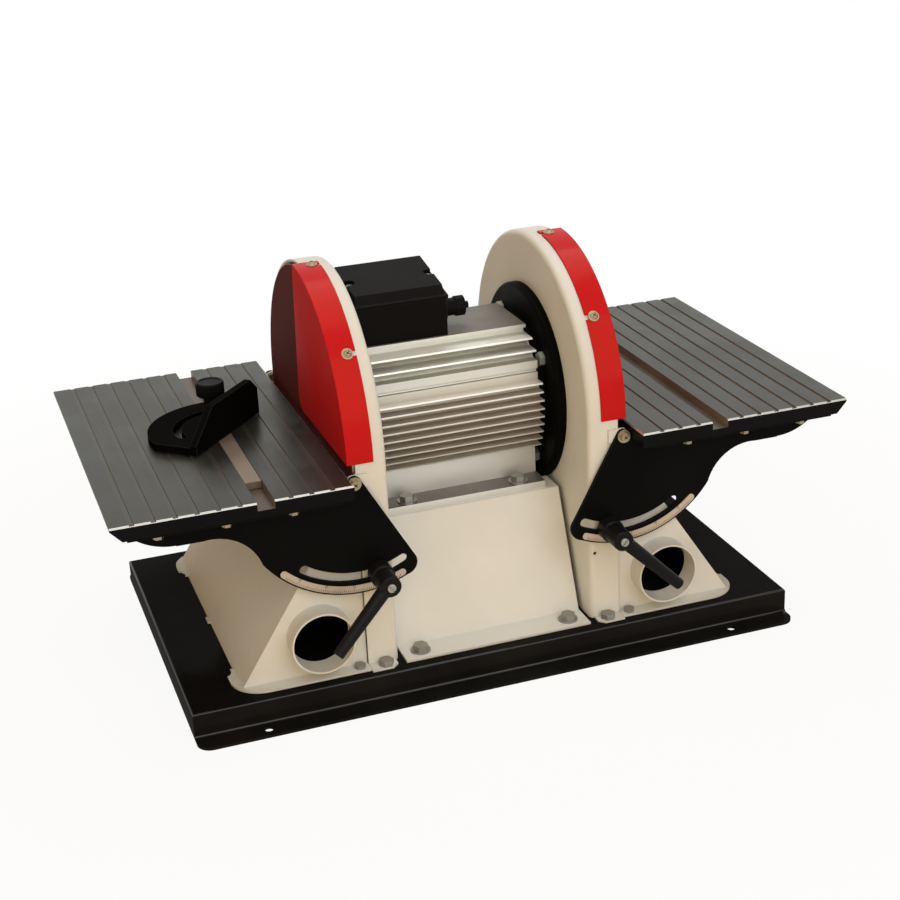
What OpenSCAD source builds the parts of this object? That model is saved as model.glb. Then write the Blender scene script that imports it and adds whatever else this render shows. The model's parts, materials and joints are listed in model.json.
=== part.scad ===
// Twin disc sander for the bench: one motor turns a sanding disc at each end,
// each with its own housing, guard, tilting table and dust chute.
// X runs along the shaft, -Y is the side with the dust ports, Z is up.
// The origin lies on the bench under the middle of the base.

/* [Base] */
// Length of the base pan along the shaft
base_l = 628; // [600:1:700]
// Width of the base pan between its walls
base_w = 360; // [350:1:400]
// Height of the base pan
base_h = 28; // [20:1:40]
// Sheet thickness of the base pan
base_sheet = 3; // [2:0.5:4]
// Width of the bolting flanges along the front and rear
base_flange_w = 23; // [18:1:30]
// Corner radius of the bolting flanges
base_corner_r = 14; // [5:1:18]
// Diameter of the four bench holes
bench_hole_d = 9; // [6:0.5:12]
// Distance between bench holes along the base
bench_hole_span = 490; // [400:1:560]

/* [Motor] */
// Height of the shaft above the bench
shaft_z = 237; // [230:1:250]
// Height of the shaft above the motor feet
motor_axis_h = 87.5; // [85:0.5:95]
// Length of the finned motor frame
motor_l = 172; // [160:1:190]
// Radius to the tips of the cooling fins
fin_tip_r = 87; // [84:0.5:92]
// Thickness of a cooling fin
fin_t = 1.6; // [1.2:0.1:3]
// Spacing of the cooling fins
fin_pitch = 8.6; // [7:0.1:11]
// Outer radius of the motor frame under the fins
frame_r = 74; // [71:0.5:78]
// Bore radius of the motor frame
frame_bore_r = 66; // [62:0.5:68]
// Width of the flat top of the motor frame
platform_w = 80; // [70:1:84]
// Height of the flat top above the shaft
platform_h = 75; // [74.5:0.5:80]
// Width across the outer edges of the motor feet
foot_w = 167; // [160:1:176]
// Thickness of the motor feet
foot_t = 6.5; // [5:0.5:9]
// Distance between foot bolts along the shaft
foot_bolt_span_x = 120; // [90:1:140]
// Distance between foot bolts across the shaft
foot_bolt_span_y = 146; // [140:1:150]
// Outer radius of the end bells
bell_r = 104; // [96:1:112]
// Flange thickness of the end bells
bell_t = 9.7; // [8:0.1:14]
// Gap between the fins and the end bell flange
bell_gap = 7; // [6.5:0.5:12]
// Journal diameter of the shaft
shaft_d = 25; // [20:0.5:28]
// Outer diameter of the shaft bearings
bearing_d = 52; // [46:0.5:58]
// Width of the shaft bearings
bearing_w = 15; // [12:0.5:17]

/* [Discs and housings] */
// Diameter of the sanding discs
disc_d = 304.8; // [295:0.1:308]
// Thickness of the disc plates
disc_plate_t = 8.5; // [6:0.5:12]
// Thickness of the abrasive sheet
abrasive_t = 1.5; // [0.8:0.1:2.5]
// How far the abrasive stands proud of the housing rim
disc_proud = 2.9; // [2:0.1:5]
// Gap between the disc edge and the housing
disc_gap = 3.1; // [2:0.1:6]
// Sheet thickness of the housings
housing_sheet = 2; // [1.5:0.1:3]
// Depth of the housings
housing_depth = 31.3; // [28:0.1:40]
// Radius of the rounded edge on the motor side of a housing
housing_edge_r = 6; // [4:0.5:12]
// Width of the foot tabs of a housing
foot_tab_w = 15; // [13:0.5:20]

/* [Guards] */
// Sheet thickness of the guards
guard_sheet = 1.5; // [1:0.1:2.5]
// Gap between the abrasive and the face of a guard
guard_gap = 3.8; // [2:0.1:6]
// Width of the band that lies on the housing
guard_band_w = 26; // [23:0.5:30]
// Height of a guard above the table
guard_lift = 6; // [4:0.5:20]
// Reach of the upright edge past the disc centre at the table
guard_reach = 14; // [0:1:30]
// Corner radius at the foot of the upright edge
guard_corner_r = 14; // [5:1:30]

/* [Tables] */
// Width of a table, away from the disc
table_w = 224; // [210:1:240]
// Length of a table along the disc face
table_l = 385; // [378:1:400]
// Drop of the table top below the shaft
table_drop = 1; // [0:0.5:5]
// Gap between the abrasive and the table
table_gap = 8.1; // [7.6:0.1:11]
// Thickness of the table plate over its pockets
table_plate_t = 8; // [6:0.5:10]
// Depth of the table rim
table_rim_h = 14.5; // [13:0.5:17]
// Undercut of the outer table end
table_bevel = 10.4; // [4:0.1:14]
// Distance from the table edge to the mitre slot
slot_inset = 83; // [70:1:95]
// Width of the mitre slot
slot_w = 16.5; // [15:0.1:20]
// Depth of the mitre slot
slot_depth = 8; // [6:0.1:9]
// Width of the dust grooves
groove_w = 4.6; // [2:0.1:7]
// Depth of the dust grooves
groove_d = 1; // [0.5:0.1:2.5]
// Spacing of the dust grooves
groove_pitch = 19.5; // [15:0.5:30]

/* [Trunnions] */
// Distance from the table edge to the tilt pivot
pivot_inset = 7.5; // [7.2:0.1:9]
// Drop of the tilt pivot below the table top
pivot_drop = 10.8; // [9:0.1:13]
// Diameter of the pivot shoulder
pivot_d = 8; // [6:0.5:9]
// Thickness of the trunnion plates
trunnion_t = 3; // [2:0.5:4]
// Radius of the arc slot around the pivot
arc_r = 95.5; // [92:0.5:98]
// Width of the arc slot
arc_slot_w = 9.2; // [9:0.1:10]
// Radius of the lower edge around the pivot
trunnion_r = 113.5; // [112:0.5:116]
// Tilt of the tables below level
tilt_down = 45; // [30:1:45]
// Tilt of the tables above level
tilt_up = 15; // [0:1:15]
// Diameter of the clamp studs
stud_d = 8; // [6:0.5:8.5]
// Length of a clamp lever from its stud
lever_l = 77; // [60:1:90]

/* [Dust chutes] */
// Sheet thickness of the chutes
chute_sheet = 2; // [1:0.1:3]
// Reach of a chute foot past the housing rim
chute_reach = 126; // [115:1:135]
// Height of a chute above the base
chute_h = 177; // [160:1:178]
// Outer diameter of the dust ports
port_d = 63.5; // [50:0.5:68]
// Wall of the dust ports
port_wall = 1.8; // [1.5:0.1:5]
// Length of the dust ports
port_l = 22; // [15:1:28]
// Distance from the housing rim to the port axis
port_out = 46.8; // [44:0.1:50]
// Height of the port axis above the base
port_up = 43.3; // [38:0.1:48]

/* [Pedestal] */
// Length of the pedestal along the shaft
pedestal_l = 196; // [180:1:196]
// Width of the pedestal at its top
pedestal_top_w = 178; // [174:1:190]
// Width of the pedestal at its foot
pedestal_foot_w = 276; // [260:1:290]
// Sheet thickness of the pedestal
pedestal_sheet = 2.5; // [1.5:0.1:4]
// Width of the bolted foot strips
pedestal_strip_w = 30; // [24:1:34]

/* [Terminal box] */
// Length of the terminal box along the shaft
tbox_l = 94; // [80:1:98]
// Depth of the terminal box across the shaft
tbox_w = 79; // [70:1:84]
// Height of the box at its low side
tbox_h = 38; // [34:1:46]
// Slope of the lid
tbox_slope_angle = 10.4; // [0:0.1:15]
// Wall of the terminal box
tbox_wall = 3; // [2:0.5:4]
// Diameter of the gland body
gland_d = 20; // [16:0.5:24]

/* [Mitre gauge] */
// Length of the mitre bar
mitre_bar_l = 190; // [170:1:240]
// Radius of the protractor head
mitre_head_r = 73; // [68:1:78]
// Thickness of the protractor head
mitre_head_t = 8; // [6:0.5:16]
// Length of the fence
fence_l = 124; // [110:1:136]
// Height of the fence
fence_h = 39; // [30:1:45]
// Thickness of the fence
fence_t = 7; // [5:0.5:7.5]
// Turn of the head from square
mitre_angle = 48; // [-60:1:60]
// Largest turn of the head either way
mitre_swing = 60; // [60:1:70]
// Diameter of the lock knob
knob_d = 29; // [22:0.5:34]

/* [Switch] */
// Width of the switch plate
switch_w = 62; // [56:1:80]
// Length of the switch plate
switch_l = 96; // [90:1:110]
// Diameter of the push buttons
button_d = 24; // [20:0.5:28]
// Travel of the push buttons
button_travel = 4; // [2:0.5:5]

/* [Hidden] */
$fn = 72;

// Cuts run this far past the faces that they open
overrun = 1;
// Gap between pieces that move past each other
fit = 0.3;
// Radial gap of a turning fit
run_fit = 0.04;
// Radial gap of a seated fit
seat_fit = 0.02;
// Rounds that run into straight edges stay this share inside them
tangent_share = 0.99;

// Colours of the finishes
cream = "#d8cdb2";
black = "#1d1b19";
red = "#c21d24";
aluminium = "#bdb8ae";
zinc = "#b9b6ab";
brass = "#c9a860";
steel = "#8f8d88";
maroon = "#4a221b";

// Places along the shaft, from the middle of the machine outwards
frame_end = motor_l / 2;
bell_face = frame_end + bell_gap;
// The housings stand clear of the pedestal, and the end bells reach them
pedestal_gap = 0.5;
housing_x = max(bell_face + bell_t, pedestal_l / 2 + pedestal_gap);
bell_reach = housing_x - bell_face;
rim_x = housing_x + housing_depth;
disc_x = rim_x + disc_proud;
plate_x = disc_x - abrasive_t - disc_plate_t;
guard_x = disc_x + guard_gap + guard_sheet;
table_x = disc_x + table_gap;
table_end_x = table_x + table_w;
slot_x = table_x + slot_inset;
pivot_x = table_x - pivot_inset;

// Heights
foot_z = shaft_z - motor_axis_h;
table_z = shaft_z - table_drop;
table_under_z = table_z - table_rim_h;
pivot_z = table_z - pivot_drop;
guard_foot_z = table_z + guard_lift;
platform_z = shaft_z + platform_h;

// Disc housing
disc_r = disc_d / 2;
housing_r = disc_r + disc_gap + housing_sheet;
shaft_hole_r = shaft_d / 2 + 4 * housing_sheet;
foot_tab_inset = 4;
foot_tab_clip = 6;
bell_bolt_d = 8;
bell_bolt_r = fin_tip_r - bell_bolt_d + housing_sheet;
bell_bolt_angle = 34;
bell_bolt_turns = [for (i = [0 : 3]) 180 - bell_bolt_angle + i * 90];
peep_hole_d = 3.5;
peep_hole_inset = 5.5;
peep_hole_up = 73;

// Pivot lugs on the housings, and the trunnion plates that lie against them
lug_t = 2.7;
lug_r = 6.8;
lug_reach = 14.5;
pivot_boss_r = 7;
trunnion_y = housing_r + lug_t + fit;
trunnion_face_y = trunnion_y + trunnion_t;

// Arc slot: the clamp stud stands still while the slot turns past it
stud_angle = 101;
arc_slack_angle = 0.6;
arc_low_angle = stud_angle + tilt_up + arc_slack_angle;
arc_high_angle = stud_angle - tilt_down - arc_slack_angle;
stud_x = pivot_x + arc_r * cos(stud_angle);
stud_z = pivot_z - arc_r * sin(stud_angle);

// Dust port places
port_x = rim_x + port_out;
port_z = base_h + port_up;
chute_inset = 4;
chute_y = housing_r - chute_inset;
port_end_y = chute_y + port_l;

// Trunnion outline: the relief lies round the dust port when the table is fully down
relief_gap = 16.5;
relief_r = port_d / 2 + relief_gap;
relief_x = pivot_x + (port_x - pivot_x) * cos(tilt_down) - (port_z - pivot_z) * sin(tilt_down);
relief_z = pivot_z + (port_x - pivot_x) * sin(tilt_down) + (port_z - pivot_z) * cos(tilt_down);
toe_r = 13;
toe_angle = arc_low_angle - arc_slack_angle;
toe_out = 0.4;
toe_far = trunnion_r - toe_r + toe_out;
toe_x = pivot_x + toe_far * cos(toe_angle);
toe_z = pivot_z - toe_far * sin(toe_angle);
trunnion_bar_h = 26.6;
trunnion_tip_l = 50;
trunnion_tip_r = (pow(trunnion_tip_l, 2) + pow(trunnion_bar_h, 2)) / trunnion_bar_h / 2;
trunnion_bar_gap = 0.5;
trunnion_bar_x = table_end_x - table_bevel - trunnion_bar_gap;
trunnion_far = 2 * trunnion_r;

// Trunnion flange, from the plate to under the end rim of the table that its screws go into
table_end_rim_w = 30;
table_screw_margin = 11.5;
table_screw_y = (table_l - table_end_rim_w) / 2;
flange_start = 12;
flange_end_gap = 4;
flange_far_y = max(trunnion_face_y, table_screw_y + table_screw_margin);
flange_near_y = min(trunnion_y, table_screw_y - table_screw_margin);
flange_x = table_x + flange_start;
flange_l = trunnion_bar_x - flange_x - flange_end_gap;
table_screw_d = 5;
table_screw_head_h = 5;
table_screw_washer_t = 1.2;
table_screw_depth = 9;
table_screw_shares = [0.218, 0.536, 0.854];

// Angle scale strip
scale_w = 7.4;
scale_t = 0.4;
scale_edge = 1.5;
scale_r = trunnion_r - scale_edge - scale_w / 2;
scale_low_angle = 112.5;
scale_high_angle = 47;

// Clamp levers
lever_y = trunnion_face_y + scale_t + fit;
lever_skirt_r = 12;
lever_skirt_h = 16;
lever_hub_r = 10.5;
lever_hub_l = 38.5;
lever_root_r = 8.5;
lever_tip_r = 6.8;
lever_lift = 20.3;
lever_angle = 44;
cap_screw_d = 5;
cap_head_d = 10.5;
cap_head_h = 3;
cap_slot_w = 1.4;
stud_reach = 18;
stud_head_d = 13;
stud_head_h = 5;

// Table casting
table_edge_h = 3;
table_rim_w = 10;
table_rib_w = 8;
table_rib_count = 3;
table_chamfer = 1.5;
groove_first = 23.5;

// Guard outline, seen along the shaft
guard_fit = 0.2;
guard_r = housing_r + guard_fit + guard_sheet;
guard_top_y = 2;
guard_low_z = guard_foot_z - shaft_z;
guard_lean_angle = atan((guard_reach + guard_top_y) / (guard_r - guard_low_z));
guard_corner_tangent = guard_corner_r / tan((90 - guard_lean_angle) / 2);
guard_band_x = guard_x - guard_band_w;
guard_slot_w = 5;
guard_slot_inset = 8.5;
guard_slot_x = guard_band_x + guard_slot_inset;
guard_slot_angles = [4.4, 50.5];
guard_screw_d = 4;
guard_screw_l = guard_r - disc_r - disc_gap / 2;
guard_head_d = 9;
guard_head_h = 2.6;
guard_washer_d = 11;
guard_washer_t = 0.8;

// Dust chute: slanted outer side, seen along Y
chute_x = rim_x + fit;
chute_foot_x = rim_x + chute_reach;
chute_top_z = base_h + chute_h;
chute_throat = 11;
chute_run = chute_foot_x - rim_x - chute_throat;
chute_cut = chute_sheet * sqrt(1 + pow(chute_run / chute_h, 2));
chute_lip_w = 15;
chute_lip_r = 32;
chute_lip_out = 8;
chute_lip_back = 44;
chute_tab_w = 12;
chute_tab_span = 118;
chute_bolt_d = 6;
chute_bolt_inset = 9.5;
chute_bolt_x = chute_x + chute_bolt_inset;
chute_bolt_y = chute_y + chute_lip_w / 2;

// Pedestal section
pedestal_slope_share = (pedestal_foot_w - pedestal_top_w) / 2 / (foot_z - base_h);
pedestal_cut = pedestal_sheet * sqrt(1 + pow(pedestal_slope_share, 2));
pedestal_bolt_y = pedestal_foot_w / 2 + pedestal_strip_w / 2;
pedestal_bolt_inset = 19;
pedestal_bolt_x = pedestal_l / 2 - pedestal_bolt_inset;
pedestal_bolt_d = 8;
housing_bolt_d = 8;
housing_bolt_x = housing_x + housing_depth / 2;
housing_bolt_y = housing_r + foot_tab_w / 2;

// Motor frame section
upper_fin_shares = [6.67, 5.49];
lower_fin_shares = [for (i = [2 : -1 : -6]) i];
fin_shift = 7.6;
boss_rows = [29, 41.2];
boss_h = 8.4;
boss_reach = 70;
platform_t = 3.5;
platform_lip = 6;
platform_neck_w = platform_w - 2 * platform_lip;
web_t = 6;
web_y = 57;
web_top = 40;
foot_bolt_d = 8;

// End bells and bearings
bell_edge_share = 0.45;
bell_edge_r = bell_t * bell_edge_share;
bell_clear = 1;
bell_ring_inset = 2;
bell_ring_r = frame_r - bell_ring_inset;
spigot_l = 8;
spigot_wall = 8;
bell_cavity_r = frame_bore_r - spigot_wall;
bell_back_t = 6.7;
bell_hub_wall = 8;
bell_hub_r = bearing_d / 2 + bell_hub_wall;
bearing_cover = 5.7;
bearing_x = housing_x - bearing_cover - bearing_w;
bearing_ring_share = 0.3;
bearing_recess = 1.5;

// Shaft, rotor and stator
shaft_step = 2.5;
shaft_mid_d = shaft_d + 2 * shaft_step;
shaft_shoulder_x = bearing_x - fit;
shaft_end_x = plate_x - fit;
core_share = 0.523;
core_l = motor_l * core_share;
rotor_share = 0.63;
rotor_r = frame_bore_r * rotor_share;
air_gap = 0.5;
winding_l = 18;
winding_wall = 14;
winding_inset = 4;

// Disc plates
hub_wall = 11.5;
hub_r = shaft_d / 2 + hub_wall;
hub_gap = 3.3;
hub_x = housing_x + housing_sheet + hub_gap;
hub_screw_d = 6;
hub_screw_x = (hub_x + plate_x) / 2;
plate_recess = 2;
plate_recess_inset = 16;

// Terminal box on the flat top of the motor
tbox_over = 4;
tbox_x = tbox_l / 2 - frame_end - tbox_over;
tbox_setback = 4;
tbox_y = tbox_setback - platform_w / 2;
lid_lip_h = 4;
lid_top_h = 7;
lid_step = 3;
lid_bevel = 8;
lid_notch_w = 11;
lid_over = 1.5;
lid_w = tbox_w / cos(tbox_slope_angle) + 2 * lid_over;
lid_screw_d = 4;
lid_screw_head_d = 7;
lid_screw_inset = 5.5;
lid_screw_share = 0.5;
gland_y = -10;
gland_up = 20;
gland_z = platform_z + gland_up;
gland_flange_t = 5;
gland_flange_share = 1.3;
gland_flange_d = gland_d * gland_flange_share;
gland_body_l = 17;
gland_nut_l = 9;
gland_nut_share = 1.05;
gland_nut_d = gland_d * gland_nut_share;
gland_tip_l = 5;
gland_tip_d = 7;
gland_bore_d = 5;
gland_thread_l = 6;
gland_thread_share = 0.7;
gland_thread_d = gland_d * gland_thread_share;
gland_neck_share = 0.9;
capacitor_d = 30;
capacitor_l = 62;
capacitor_y = 14;

// Mitre gauge on the left table
mitre_bar_w = slot_w - 2 * fit;
mitre_bar_sink = 0.5;
mitre_bar_t = slot_depth - fit - mitre_bar_sink;
mitre_bar_z = table_z - slot_depth + fit;
mitre_bar_y = -142;
mitre_y = -9;
mitre_z = table_z + fit;
mitre_face = 8;
mitre_arc_r = 44;
mitre_stud_d = 7;
mitre_arc_gap = 0.7;
mitre_arc_w = mitre_stud_d + 2 * mitre_arc_gap;
mitre_pin_d = 8;
mitre_pin_cover = 2;
mitre_pin_h = mitre_head_t - mitre_pin_cover;
fence_slope_run = 36;
fence_low_h = 10;
fence_clip = 12;
knob_h = 13;
knob_stem_d = 13;
knob_stem_h = 18;
knob_lobe_count = 10;
knob_lobe_d = 5;

// Switch on the rear panel of the pedestal
switch_z = (base_h + foot_z) / 2;
switch_y = pedestal_foot_w / 2 - pedestal_slope_share * (switch_z - base_h);
switch_tilt_angle = 90 - atan(pedestal_slope_share);
switch_plate_t = 4;
switch_corner_r = 8;
switch_box_depth = 36;
switch_box_inset = 4;
button_gap = 0.4;
button_pitch = 40;
button_proud = 6;
button_seat = 8;

// Bolt heads: across flats and height as shares of the thread, washer as a share of the head
head_af_share = 1.65;
head_h_share = 0.66;
washer_share = 2.5;
washer_t_share = 0.2;

// Lays a profile drawn in Y and Z out along X, from zero to the length
module extrude_x(length) {
    rotate([90, 0, 90])
        linear_extrude(length)
            children();
}

// Lays a profile drawn in X and Z out along Y, from zero to the length
module extrude_y(length) {
    translate([0, length, 0])
        rotate([90, 0, 0])
            linear_extrude(length)
                children();
}

// Repeats a right hand piece on the left
module on_left() {
    mirror([1, 0, 0])
        children();
}

// Repeats a front piece on the rear
module on_rear() {
    mirror([0, 1, 0])
        children();
}

// Places a piece at all four corners
module on_corners() {
    for (flip_x = [0, 1])
        for (flip_y = [0, 1])
            mirror([flip_x, 0, 0])
                mirror([0, flip_y, 0])
                    children();
}

// Cylinder that starts at x and runs outwards along +X at shaft height
module shaft_round(x, length, r) {
    translate([x, 0, shaft_z])
        rotate([0, 90, 0])
            cylinder(r = r, h = length);
}

// Cylinder along Y, from y = near to y = far
module cross_round(x, z, near, far, r) {
    translate([x, far, z])
        rotate([90, 0, 0])
            cylinder(r = r, h = far - near);
}

// Hexagon head, across flats as given
module hex_head(across, height) {
    cylinder(d = across / cos(30), h = height, $fn = 6);
}

// Hex bolt pointing down, its washer seat at zero
module hex_bolt(d, length, washer = true) {
    head_z = washer ? d * washer_t_share : 0;
    translate([0, 0, head_z])
        hex_head(d * head_af_share, d * head_h_share);
    if (washer)
        cylinder(d = d * washer_share, h = d * washer_t_share);
    translate([0, 0, -length])
        cylinder(d = d, h = length + head_z + overrun / 2);
}

// Rectangle with round corners about the origin
module round_rect(w, l, r) {
    square([w - 2 * r, l], center = true);
    square([w, l - 2 * r], center = true);
    for (sx = [-1, 1])
        for (sy = [-1, 1])
            translate([sx * (w / 2 - r), sy * (l / 2 - r)])
                circle(r);
}

// Wedge from the origin between two angles measured below the +X axis
module wedge(from_angle, to_angle, r) {
    middle = (from_angle + to_angle) / 2;
    polygon([[0, 0], for (a = [from_angle, middle, to_angle]) [r * cos(a), -r * sin(a)]]);
}

// Arc band round the origin with round ends, angles below the +X axis
module arc_band(r, w, from_angle, to_angle) {
    intersection() {
        difference() {
            circle(r + w / 2);
            circle(r - w / 2);
        }
        wedge(from_angle, to_angle, 2 * r);
    }
    for (a = [from_angle, to_angle])
        translate([r * cos(a), -r * sin(a)])
            circle(tangent_share * w / 2);
}

module base_pan() {
    color(black)
        difference() {
            union() {
                translate([-base_l / 2, -base_w / 2, 0])
                    cube([base_l, base_w, base_h]);
                linear_extrude(base_sheet)
                    round_rect(base_l, base_w + 2 * base_flange_w, base_corner_r);
            }
            translate([base_sheet - base_l / 2, base_sheet - base_w / 2, -overrun])
                cube([base_l - 2 * base_sheet, base_w - 2 * base_sheet, base_h - base_sheet + overrun]);
            on_corners() {
                base_hole(bench_hole_span / 2, (base_w + base_flange_w) / 2, bench_hole_d / 2, base_sheet);
                base_hole(pedestal_bolt_x, pedestal_bolt_y, pedestal_bolt_d / 2 + seat_fit, base_h);
                base_hole(housing_bolt_x, housing_bolt_y, housing_bolt_d / 2 + seat_fit, base_h);
                base_hole(chute_bolt_x, chute_bolt_y, chute_bolt_d / 2 + seat_fit, base_h);
            }
            for (side = [0, 1])
                mirror([side, 0, 0])
                    for (y = [-chute_tab_span, 0, chute_tab_span])
                        translate([chute_foot_x + fit, y - chute_tab_w / 2 - fit,
                            base_h - base_sheet - overrun])
                            cube([chute_sheet + 2 * fit, chute_tab_w + 2 * fit, base_sheet + 2 * overrun]);
        }
}

// Round hole through the base sheet whose top face is at z
module base_hole(x, y, r, z) {
    translate([x, y, z - base_sheet - overrun])
        cylinder(r = r, h = base_sheet + 2 * overrun);
}

module pedestal() {
    foot = pedestal_foot_w / 2;
    top = pedestal_top_w / 2;
    strip = foot + pedestal_strip_w;
    rise = base_h + pedestal_sheet;
    bend = foot - pedestal_slope_share * pedestal_sheet;
    crown = top - pedestal_cut + pedestal_slope_share * pedestal_sheet;
    outside = [[-strip, base_h], [-strip, rise], [-bend, rise], [-top, foot_z],
        [top, foot_z], [bend, rise], [strip, rise], [strip, base_h]];
    inside = [[foot - pedestal_cut, base_h], [crown, foot_z - pedestal_sheet],
        [-crown, foot_z - pedestal_sheet], [pedestal_cut - foot, base_h]];
    color(cream)
        difference() {
            translate([-pedestal_l / 2, 0, 0])
                extrude_x(pedestal_l)
                    polygon(concat(outside, inside));
            on_corners() {
                translate([foot_bolt_span_x / 2, foot_bolt_span_y / 2, foot_z - pedestal_sheet - overrun])
                    cylinder(r = foot_bolt_d / 2 + seat_fit, h = pedestal_sheet + 2 * overrun);
                translate([pedestal_bolt_x, pedestal_bolt_y, base_h - overrun])
                    cylinder(r = pedestal_bolt_d / 2 + seat_fit, h = pedestal_sheet + 2 * overrun);
            }
            for (side = [0, 1])
                mirror([side, 0, 0])
                    shaft_round(bell_face - bell_clear, pedestal_l, bell_r + bell_clear);
            at_switch()
                translate([0, 0, -switch_box_depth / 2])
                    linear_extrude(switch_box_depth)
                        square([switch_w - 2 * switch_box_inset + fit, switch_l - 2 * switch_box_inset + fit],
                            center = true);
        }
}

// Solid of a housing: round above the shaft, straight below it, with a rounded inner edge
module housing_form(r, depth, edge, foot) {
    translate([0, 0, shaft_z])
        rotate([0, 90, 0])
            rotate_extrude() {
                square([r - edge, depth]);
                translate([0, edge])
                    square([r, depth - edge]);
                translate([r - edge, edge])
                    circle(edge);
            }
    translate([0, 0, foot])
        linear_extrude(shaft_z - foot) {
            translate([0, edge - r])
                square([depth, 2 * (r - edge)]);
            translate([edge, -r])
                square([depth - edge, 2 * r]);
            for (side = [-1, 1])
                translate([edge, side * (r - edge)])
                    circle(edge);
        }
}

// Flat lug on the outside of a housing that carries a tilt pivot
module pivot_lug() {
    translate([0, -housing_r - lug_t, 0])
        extrude_y(lug_t) {
            translate([pivot_x - lug_reach, pivot_z - lug_r])
                square([lug_reach, 2 * lug_r]);
            translate([pivot_x, pivot_z])
                circle(lug_r);
        }
}

// Foot tab that is folded out of a housing and bolted to the base
module foot_tab() {
    near = -housing_r - foot_tab_w;
    inner = housing_x + foot_tab_inset;
    translate([0, 0, base_h])
        linear_extrude(housing_sheet)
            polygon([[inner, housing_sheet - housing_r], [inner, foot_tab_clip + near],
                [inner + foot_tab_clip, near], [rim_x, near], [rim_x, housing_sheet - housing_r]]);
}

module housing() {
    difference() {
        union() {
            difference() {
                translate([housing_x, 0, 0])
                    housing_form(housing_r, housing_depth, housing_edge_r, base_h);
                translate([housing_x + housing_sheet, 0, 0])
                    housing_form(housing_r - housing_sheet, housing_depth + overrun,
                        housing_edge_r - housing_sheet, base_h - overrun);
            }
            for (flip_y = [0, 1])
                mirror([0, flip_y, 0]) {
                    pivot_lug();
                    foot_tab();
                }
        }
        shaft_round(housing_x - overrun, housing_sheet + 2 * overrun, shaft_hole_r);
        for (turn = bell_bolt_turns)
            at_bell_bolt(turn)
                translate([0, 0, housing_x - overrun])
                    cylinder(r = bell_bolt_d / 2 + seat_fit, h = housing_sheet + 2 * overrun);
        for (angle = guard_slot_angles)
            at_guard_screw(angle)
                cylinder(r = guard_screw_d / 2 + seat_fit, h = housing_r + overrun);
        for (flip_y = [0, 1])
            mirror([0, flip_y, 0]) {
                cross_round(pivot_x, pivot_z, -housing_r - lug_t - overrun, overrun - housing_r,
                    pivot_d / 2 + seat_fit);
                cross_round(stud_x, stud_z, -housing_r - overrun, overrun + housing_sheet - housing_r,
                    stud_d / 2 + seat_fit);
                cross_round(housing_x + peep_hole_inset, base_h + peep_hole_up, -housing_r - overrun,
                    overrun + housing_sheet - housing_r, peep_hole_d / 2);
                translate([housing_bolt_x, housing_bolt_y, base_h - overrun])
                    cylinder(r = housing_bolt_d / 2 + seat_fit, h = housing_sheet + 2 * overrun);
            }
    }
}

module left_housing() {
    color(cream)
        on_left()
            housing();
}

module right_housing() {
    color(cream)
        housing();
}

// Side of a chute seen along Y, drawn in by a sheet thickness for its hollow
module chute_side(wall, rise) {
    foot_x = chute_foot_x - wall;
    top_x = rim_x + chute_throat - wall;
    lean_share = chute_run / chute_h;
    start_x = wall > 0 ? chute_x - overrun : chute_x;
    polygon([[start_x, base_h - rise], [foot_x + lean_share * rise, base_h - rise],
        [top_x - lean_share * rise, chute_top_z + rise], [start_x, chute_top_z + rise]]);
}

// Bottom lip of a chute with its rounded outer corner
module chute_lip() {
    near = -chute_y - chute_lip_w;
    outer = chute_foot_x + chute_lip_out;
    translate([0, 0, base_h])
        linear_extrude(chute_sheet)
            difference() {
                union() {
                    translate([rim_x + fit, near])
                        square([outer - chute_lip_r - rim_x - fit, chute_lip_back]);
                    translate([rim_x + fit, near + chute_lip_r])
                        square([outer - rim_x - fit, chute_lip_back - chute_lip_r]);
                    translate([outer - chute_lip_r, near + chute_lip_r])
                        circle(chute_lip_r);
                }
                translate([rim_x, chute_sheet - chute_y])
                    square([chute_foot_x - rim_x - chute_cut, chute_y]);
            }
}

module dust_chute() {
    difference() {
        union() {
            difference() {
                translate([0, -chute_y, 0])
                    extrude_y(2 * chute_y)
                        chute_side(0, 0);
                translate([0, chute_sheet - chute_y, 0])
                    extrude_y(2 * (chute_y - chute_sheet))
                        chute_side(chute_cut, overrun);
            }
            for (flip_y = [0, 1])
                mirror([0, flip_y, 0])
                    chute_lip();
            for (y = [-chute_tab_span, 0, chute_tab_span])
                translate([chute_foot_x - chute_cut, y - chute_tab_w / 2, base_h]) {
                    cube([chute_cut + chute_sheet + 2 * fit, chute_tab_w, chute_sheet]);
                    translate([chute_cut + 2 * fit, 0, -base_sheet])
                        cube([chute_sheet, chute_tab_w, base_sheet + chute_sheet]);
                }
            cross_round(port_x, port_z, -port_end_y, chute_sheet - chute_y, port_d / 2);
        }
        cross_round(port_x, port_z, -port_end_y - overrun, chute_sheet - chute_y + overrun,
            port_d / 2 - port_wall);
        for (flip_y = [0, 1])
            mirror([0, flip_y, 0])
                translate([chute_bolt_x, chute_bolt_y, base_h - overrun])
                    cylinder(r = chute_bolt_d / 2 + seat_fit, h = chute_sheet + 2 * overrun);
    }
}

module left_dust_chute() {
    color(cream)
        on_left()
            dust_chute();
}

module right_dust_chute() {
    color(cream)
        dust_chute();
}

// Half of the disc that a guard covers, seen along the shaft
module guard_outline() {
    corner = [guard_reach, guard_low_z];
    lean = [-sin(guard_lean_angle), cos(guard_lean_angle)];
    over = guard_r + overrun;
    polygon([[-over, guard_low_z], [guard_reach - guard_corner_tangent, guard_low_z],
        corner + guard_corner_tangent * lean, corner + 2 * guard_r * lean, [-over, 2 * guard_r]]);
    translate([guard_reach - guard_corner_tangent, guard_low_z + guard_corner_r])
        circle(guard_corner_r);
}

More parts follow.
